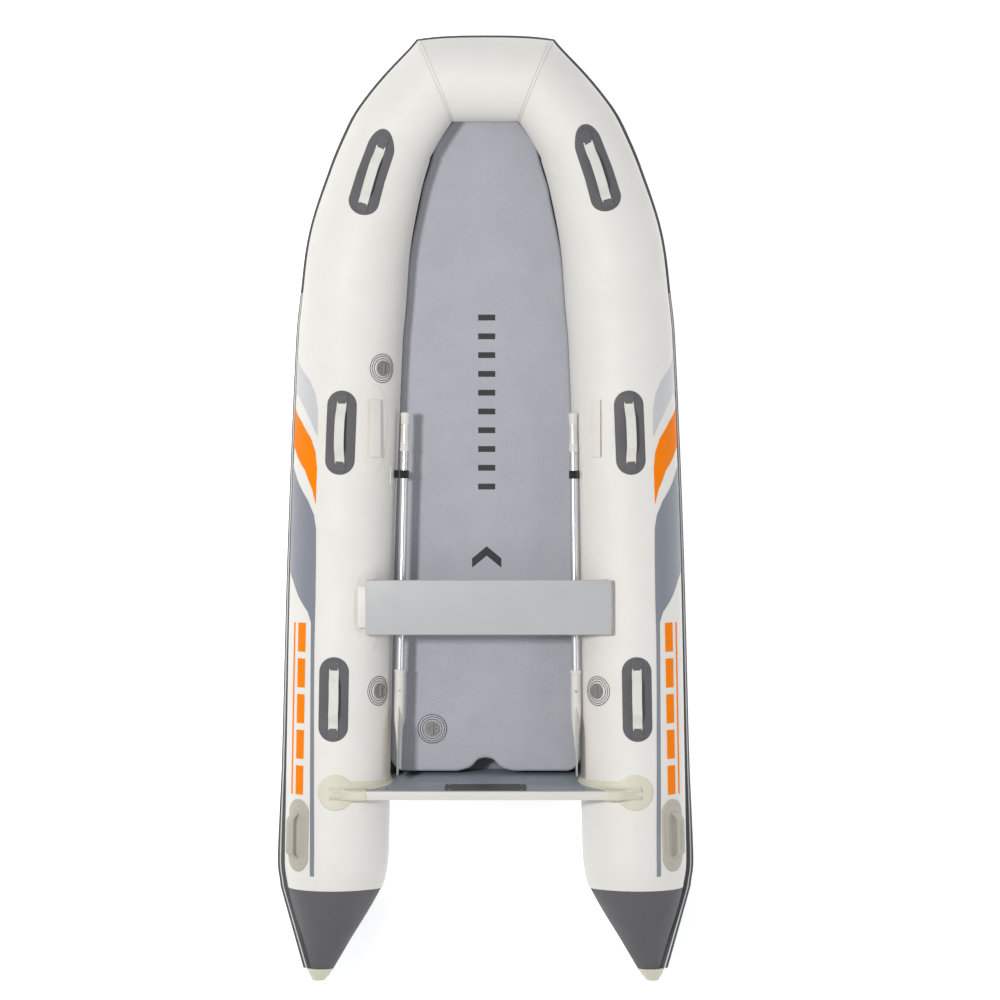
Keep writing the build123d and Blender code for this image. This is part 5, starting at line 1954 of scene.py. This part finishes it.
@dataclass
class Oar:
    """Oar held along the tube: grip, drawn tube, blade with its socket, strap and patch."""

    side: Side
    skin: Skin
    grip_in: float
    blade_in: float
    grip_up: float
    blade_up: float
    length: float = 1.350
    shaft_radius: float = 0.0155
    grip_radius: float = 0.018
    grip_length: float = 0.145
    socket_radius: float = 0.020
    socket_length: float = 0.206
    blade_length: float = 0.187
    blade_height: float = 0.156
    strap_from_grip: float = 0.231
    tip_clear: float = 0.030        # from the board's face to the blade's end
    shaft_bore: float = 0.0135
    plug_depth: float = 0.0063      # the tube stops this far inside the grip's end
    shaft_in_socket: float = 0.120
    groove_pitch: float = 0.0105
    groove_depth: float = 0.0009
    rib_places: tuple[float, ...] = (-0.036, 0.0, 0.036)
    rib_half: float = 0.005
    rib_rise: float = 0.0012
    strap_width: float = 0.030
    strap_thick: float = 0.0021

    def line(self) -> tuple[Vector, Vector]:
        """Grip end and direction of the oar.

        Returns:
            The grip's end, and the direction from there.
        """
        skin = self.skin
        level = skin.tube_radius + (self.grip_up + self.blade_up) / 2
        tip = Holder(self.side, skin).face(level) + self.tip_clear
        inner = skin.half_spacing - skin.tube_radius
        start = Vector((self.side.value * (inner - self.grip_in), tip + self.length,
                        skin.tube_radius + self.grip_up))
        end = Vector((self.side.value * (inner - self.blade_in), tip,
                      skin.tube_radius + self.blade_up))
        return start, (end - start).normalized()

    def build_grip(self, start: Vector, way: Vector, body: str) -> None:
        """Soft grip: domed end, waist and rings.

        Args:
            start: the grip's end.
            way: direction of the oar.
            body: the body it rides on.
        """
        r, long = self.grip_radius, self.grip_length
        profile = [(0.0, 0.003), (0.0003, 0.010), (0.0018, 0.0150), (0.005, r - 0.0003),
                   (0.010, r)]
        for k in range(11):
            s = 0.018 + self.groove_pitch * k
            dip = 0.0012 + 0.0012 * sin(pi * k / 10)
            low = r - dip - self.groove_depth
            profile += [(s, r - dip), (s + 0.0062, r - dip), (s + 0.0072, low), (s + 0.0095, low)]
        profile += [(long - 0.012, r), (long - 0.003, r), (long - 0.0006, r - 0.0012),
                    (long, r - 0.0025)]
        piece = lathe(body + "_grip_sleeve", start, way, profile, Finishes.plastic, body)
        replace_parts(piece, body + "_grip")

    def build_blade(self, start: Vector, way: Vector, body: str) -> None:
        """Socket and a ribbed, slightly cupped blade that stands upright.

        Args:
            start: the grip's end.
            way: direction of the oar.
            body: the body it rides on.
        """
        r = self.socket_radius
        socket = self.length - self.socket_length - self.blade_length
        origin = start + way * (socket + self.socket_length)
        up = (Vector((0, 0, 1)) - way * way.z).normalized()
        out = way.cross(up) * -self.side.value
        profile = [(0.0, self.shaft_radius + 0.0004), (0.0, r - 0.0015), (0.0012, r),
                   (0.014, r), (0.0155, r - 0.0014)]
        profile += [(s, r - 0.0014) for s in (0.05, 0.10, 0.14)]
        taper = ((-0.030, 0.0178), (0.0, 0.0150), (0.04, 0.0100), (0.09, 0.0055), (0.11, 0.0020))
        profile += [(self.socket_length + d, q) for d, q in taper]
        lathe(body + "_socket", start + way * socket, way, profile, Finishes.plastic, body)
        half, rows = self.blade_height / 2, []
        outline = [(-0.070, 0.020), (-0.045, 0.034), (-0.020, 0.056), (0.005, 0.070),
                   (0.030, 0.0765), (0.060, half), (0.110, half), (0.150, half),
                   (0.165, 0.0775), (0.175, 0.0750), (0.182, 0.066), (0.186, 0.048),
                   (0.187, 0.030)]
        for u, wide in outline:
            row = []
            thick = 0.0026 + 0.0019 * (1 - ease((u + 0.07) / 0.22))
            cup = 0.0016 * ease((u + 0.03) / 0.12)
            across = [(q, 1) for q in np.linspace(-1, 1, 33)]
            across += [(q, -1) for q in np.linspace(1, -1, 33)]
            for q, face in across:
                rib = sum(self.rib_rise * max(0.0, 1 - ((q * wide - v) / self.rib_half) ** 2)
                          for v in self.rib_places) * ease((0.150 - u) / 0.05)
                edge = (1 - abs(q) ** 8) ** 0.5 if abs(q) < 1 else 0.0
                depth = face * (thick * 0.5 + 0.0009 + rib) * edge
                row.append(origin + way * u + up * (wide * q)
                           + out * (depth + cup * (q * q - 0.5)))
            rows.append(row)
        blade = Shell().rings(array(rows)).build(body + "_paddle", Finishes.plastic, body)
        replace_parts(blade, body + "_blade")

    def build_strap(self, start: Vector, way: Vector) -> None:
        """Black loop round the shaft, tapering down to its foot on the tube.

        Args:
            start: the grip's end.
            way: direction of the oar.
        """
        spot = start + way * self.strap_from_grip
        centre = self.skin.centre(self.side, spot.y)
        toward = centre - spot
        toward = (toward - way * toward.dot(way)).normalized()
        other = way.cross(toward)
        hold = self.shaft_radius + 0.0015
        reach = (centre - spot).length - self.skin.radius(spot.y)
        path = []
        for a in np.linspace(-150, 150, 41):
            path.append(spot - toward * (hold * cos(radians(a))) + other * (hold * sin(radians(a))))
        tail = [spot + toward * (hold + (reach - hold + 0.002) * s) + other * 0.0018
                for s in (0.1, 0.4, 0.7, 1.0)]
        path = [p - other * 0.0036 for p in reversed(tail)] + path + tail
        across = [way] * len(path)
        name = f"{self.side.word}_oar_strap"
        strap = ribbon(name + "_loop", path, across, self.strap_width, self.strap_thick,
                       Finishes.strap)
        away = spot - centre
        angle = degrees(atan2(away.x * self.side.value, away.z))
        arc = radians(angle) * self.skin.radius(spot.y)
        pad(name + "_foot",
            lambda u, v, lift: self.skin.local(self.side, spot.y, arc, u, v, lift),
            rounded_box(0.035, 0.030, 0.012), 0.0016, Finishes.tube)
        spots = []
        for u, v, du, dv in Fittings.box_stitches(0.012, 0.024, 0.004):
            place = self.skin.local(self.side, spot.y, arc, u, v, 0.0019)
            end = self.skin.local(self.side, spot.y, arc, u + du, v + dv, 0.0019)
            spots.append((place, (end - place).normalized(), away.normalized()))
        studs(name + "_stitches", spots, (0.003, 0.001, 0.0008), Finishes.thread)
        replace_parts(strap, name)

    def build(self) -> None:
        """Makes the oar and its strap."""
        start, way = self.line()
        body = f"{self.side.word}_oar"
        self.build_grip(start, way, body)
        end = self.length - self.socket_length - self.blade_length + self.shaft_in_socket
        profile = [(s, self.shaft_radius) for s in (self.plug_depth, 0.4, 0.8, end)]
        profile = [(self.plug_depth, self.shaft_bore), *profile, (end, self.shaft_bore)]
        tube = lathe(body + "_drawn_tube", start, way, profile, Finishes.oar_tube, body)
        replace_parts(tube, body + "_shaft")
        self.build_blade(start, way, body)
        self.build_strap(start, way)


@dataclass
class Graphics:
    """Printed bands on the side tubes: plain sweeps and bars that stand for no one's mark."""

    skin: Skin
    lift: float = 0.0011

    def band(self, name: str, right: Line, left: Line, finish: Finish, side: Side,
             lift: float) -> bpy.types.Object:
        """Thin printed band between two edges.

        Args:
            name: the piece's name.
            right: lower angle from the crown at each place.
            left: upper angle at each place.
            finish: the ink.
            side: which tube.
            lift: height of its face off the skin.

        Returns:
            The new object.
        """
        start, end = min(right[0][0], left[0][0]), max(right[-1][0], left[-1][0])
        grids = []
        for up in (lift, -0.0004):
            rows = []
            for y in steps(start + 0.0005, end - 0.0005, 0.006):
                a, b = straight(right, y), straight(left, y)
                a, b = min(a, b), max(a, b)
                b = max(b, a + 0.15)
                rows.append([self.skin.at(side, y, a + (b - a) * s, up)
                             for s in np.linspace(0, 1, 25)])
            grids.append(array(rows))
        return Shell().slab(*grids).build(f"{side.word}_{name}", finish)

    def build(self) -> None:
        """Prints the bands on both tubes."""
        pale = ([(0.276, 30.7), (0.380, 32.1), (0.430, 35.9), (0.484, 45.8), (0.554, 75.8),
                 (0.60, 88)],
                [(0.276, 31.5), (0.321, 39.2), (0.377, 51.8), (0.42, 66), (0.447, 84),
                 (0.455, 89), (0.60, 89)])
        orange = ([(0.027, 30), (0.158, 30), (0.217, 32.8), (0.268, 39.9), (0.330, 58),
                   (0.376, 80.3), (0.390, 88)],
                  [(0.027, 30.3), (0.077, 35), (0.149, 47.5), (0.226, 73.3), (0.243, 89),
                   (0.390, 89)])
        slate = ([(-1.350, 22.1), (-1.062, 24.1), (-0.693, 26.3), (-0.472, 27.0),
                  (-0.325, 26.8), (-0.177, 27.5), (-0.067, 28.6), (-0.015, 31.8), (0.038, 41),
                  (0.098, 58.4), (0.145, 71.8), (0.175, 88)],
                 [(-1.350, 27.2), (-1.063, 29.1), (-0.694, 30.8), (-0.410, 31.9),
                  (-0.373, 36.3), (-0.319, 51.4), (-0.257, 66), (-0.224, 80), (-0.211, 89),
                  (0.175, 89)])
        for side in Side:
            self.band("pale_sweep", *pale, Finishes.pale, side, self.lift)
            self.band("orange_sweep", *orange, Finishes.orange, side, self.lift)
            self.band("slate_sweep", *slate, Finishes.slate, side, self.lift)
            for k in range(5):
                end = -0.412 - 0.132 * k
                start = end - 0.108
                self.band(f"orange_bar_{k}", [(start, 39.0), (end, 39.0)],
                          [(start, 51.0), (end, 51.0)], Finishes.orange, side, self.lift)
            self.band("orange_line", [(-1.048, 57.0), (-0.412, 57.0)],
                      [(-1.048, 60.0), (-0.412, 60.0)], Finishes.orange, side, self.lift)


def straight(line: Line, y: float) -> float:
    """Value at y on straight lengths between the points of a line."""
    return float(np.interp(y, [p for p, _ in line], [v for _, v in line]))


@dataclass
class Stage:
    """Floor, soft studio lights and the camera."""

    floor_half: float = 30.0
    floor_grey: float = 0.86
    floor_glow: float = 0.60
    world_strength: float = 0.45
    key_watts: float = 375.0
    fill_watts: float = 85.0
    lens: float = 116.28
    camera_place: tuple[float, float, float] = (0.0539, 0.044, 12.28)

    def build(self) -> None:
        """Makes the stage."""
        scene = bpy.context.scene
        mesh = bpy.data.meshes.new("floor")
        far = self.floor_half
        mesh.from_pydata([(-far, -far, 0), (far, -far, 0), (far, far, 0), (-far, far, 0)], [],
                         [(0, 1, 2, 3)])
        floor = in_scene("floor", mesh)
        made = bpy.data.materials.new("studio_paper")
        made.use_nodes = True
        shader = made.node_tree.nodes["Principled BSDF"]
        shader.inputs["Base Color"].default_value = (*[self.floor_grey] * 3, 1)
        shader.inputs["Roughness"].default_value = 0.9
        shader.inputs["Emission Color"].default_value = (1, 1, 1, 1)
        shader.inputs["Emission Strength"].default_value = self.floor_glow
        mesh.materials.append(made)
        world = scene.world or bpy.data.worlds.new("studio")
        scene.world = world
        world.use_nodes = True
        back = world.node_tree.nodes["Background"]
        back.inputs["Color"].default_value = (0.96, 0.98, 1.0, 1)
        back.inputs["Strength"].default_value = self.world_strength
        self.light("key", (-3.1, 0.6, 8.2), 0.8, self.key_watts, (1.0, 0.99, 0.975))
        self.light("fill", (6.5, -2.0, 5.5), 3.5, self.fill_watts, (0.98, 0.99, 1.0))
        scene.view_settings.view_transform = "Standard"
        data = bpy.data.cameras.new("overhead")
        data.lens, data.sensor_width, data.clip_end = self.lens, 36.0, 100.0
        camera = in_scene("overhead", data)
        camera.location = self.camera_place
        scene.camera = camera

    @staticmethod
    def light(name: str, place: tuple[float, float, float], size: float, power: float,
              colour: tuple[float, float, float]) -> None:
        """Adds an area light that faces the boat.

        Args:
            name: its name.
            place: where it stands.
            size: side of its square.
            power: watts.
            colour: its colour.
        """
        data = bpy.data.lights.new(name, "AREA")
        data.size, data.energy, data.color = size, power, colour
        lamp = in_scene(name, data)
        lamp.location = place
        lamp.rotation_euler = (-Vector(place)).to_track_quat("-Z", "Y").to_euler()


def build_valves(skin: Skin, floor: Floor) -> None:
    """Makes the four valves and sinks their wells.

    Args:
        skin: the tubes' skin.
        floor: the deck.
    """
    places = {"port_aft_valve": (Side.PORT, -0.660, -50.0, "port_tube_skin"),
              "starboard_aft_valve": (Side.STARBOARD, -0.660, -42.0, "starboard_tube_skin"),
              "port_fore_valve": (Side.PORT, 0.538, -41.0, "bow_tube_skin")}
    for name, (side, y, angle, host) in places.items():
        arc = radians(angle) * skin.radius(y)
        out = skin.normal(side, y, angle)
        handed = -1 if side is Side.PORT else 1

        def place(u: float, v: float, lift: float, side: Side = side, y: float = y,
                  arc: float = arc, handed: int = handed) -> Vector:
            """Point on the skin near the valve."""
            return skin.local(side, y, arc, u, -handed * v, lift)
        Valve(name, skin.at(side, y, angle), out, skin.spot(side, y).along, place).build(
            bpy.data.objects[host])
    x, y = -0.200, -0.815
    point = Vector((x, y, floor.top(y)))
    Valve("deck_valve", point, Vector((0, 0, 1)), Vector((0, 1, 0)),
          lambda u, v, lift: point + Vector((-v, u, lift)),
          Finishes.deck_flange).build(bpy.data.objects["deck_mat"])


def build_hardware(frame: dict) -> None:
    """Rounds and finishes the hard parts.

    Args:
        frame: the loaded frame.
    """
    parts = Hardware(frame)
    parts.rounded("transom_board", Finishes.board, 0.0022)
    parts.rounded("transom_edge_trim", Finishes.plastic, 0.0012)
    parts.rounded("inner_motor_plate", Finishes.dark_plastic, 0.0010)
    parts.rounded("outer_motor_plate", Finishes.dark_plastic, 0.0010)
    parts.rounded("motor_plate_bolts", Finishes.steel, 0.0006)
    parts.rounded("transom_screws", Finishes.steel, 0.0010)
    parts.rounded("seat_board", Finishes.bench, 0.0045, 4)
    parts.rounded("seat_brackets", Finishes.bracket, 0.0010)
    parts.rounded("aft_seat_rails", Finishes.rail, 0.0012)
    parts.rounded("fore_seat_rails", Finishes.rail, 0.0012)
    parts.rounded("bow_tow_patch", Finishes.grey, 0.0010)
    kept = {"tube_baffles": Finishes.tube, "keel_tube": Finishes.hull,
            "bow_tow_ring": Finishes.steel}
    for side in Side:
        kept[f"{side.word}_oar_button"] = Finishes.steel
    for name in ("port_aft_valve", "starboard_aft_valve", "port_fore_valve", "deck_valve"):
        kept[name + "_plunger"] = Finishes.valve
    for node, finish in kept.items():
        parts.keep(node, finish)


def main() -> None:
    """Builds every assembly in order, then the stage."""
    logging.basicConfig(level=logging.INFO, format="%(name)s: %(message)s")
    skin = Skin()
    Tubes(skin).build()
    Strake(skin).build()
    floor = Floor(skin)
    floor.build()
    Fittings(skin).build()
    for side in Side:
        Holder(side, skin).build()
    build_valves(skin, floor)
    Oar(Side.PORT, skin, 0.0640, 0.0345, 0.0815, 0.0635).build()
    Oar(Side.STARBOARD, skin, 0.0365, 0.0225, 0.0985, 0.0755).build()
    Graphics(skin).build()
    build_hardware(frame)
    Stage().build()


if __name__ == "__main__":
    main()
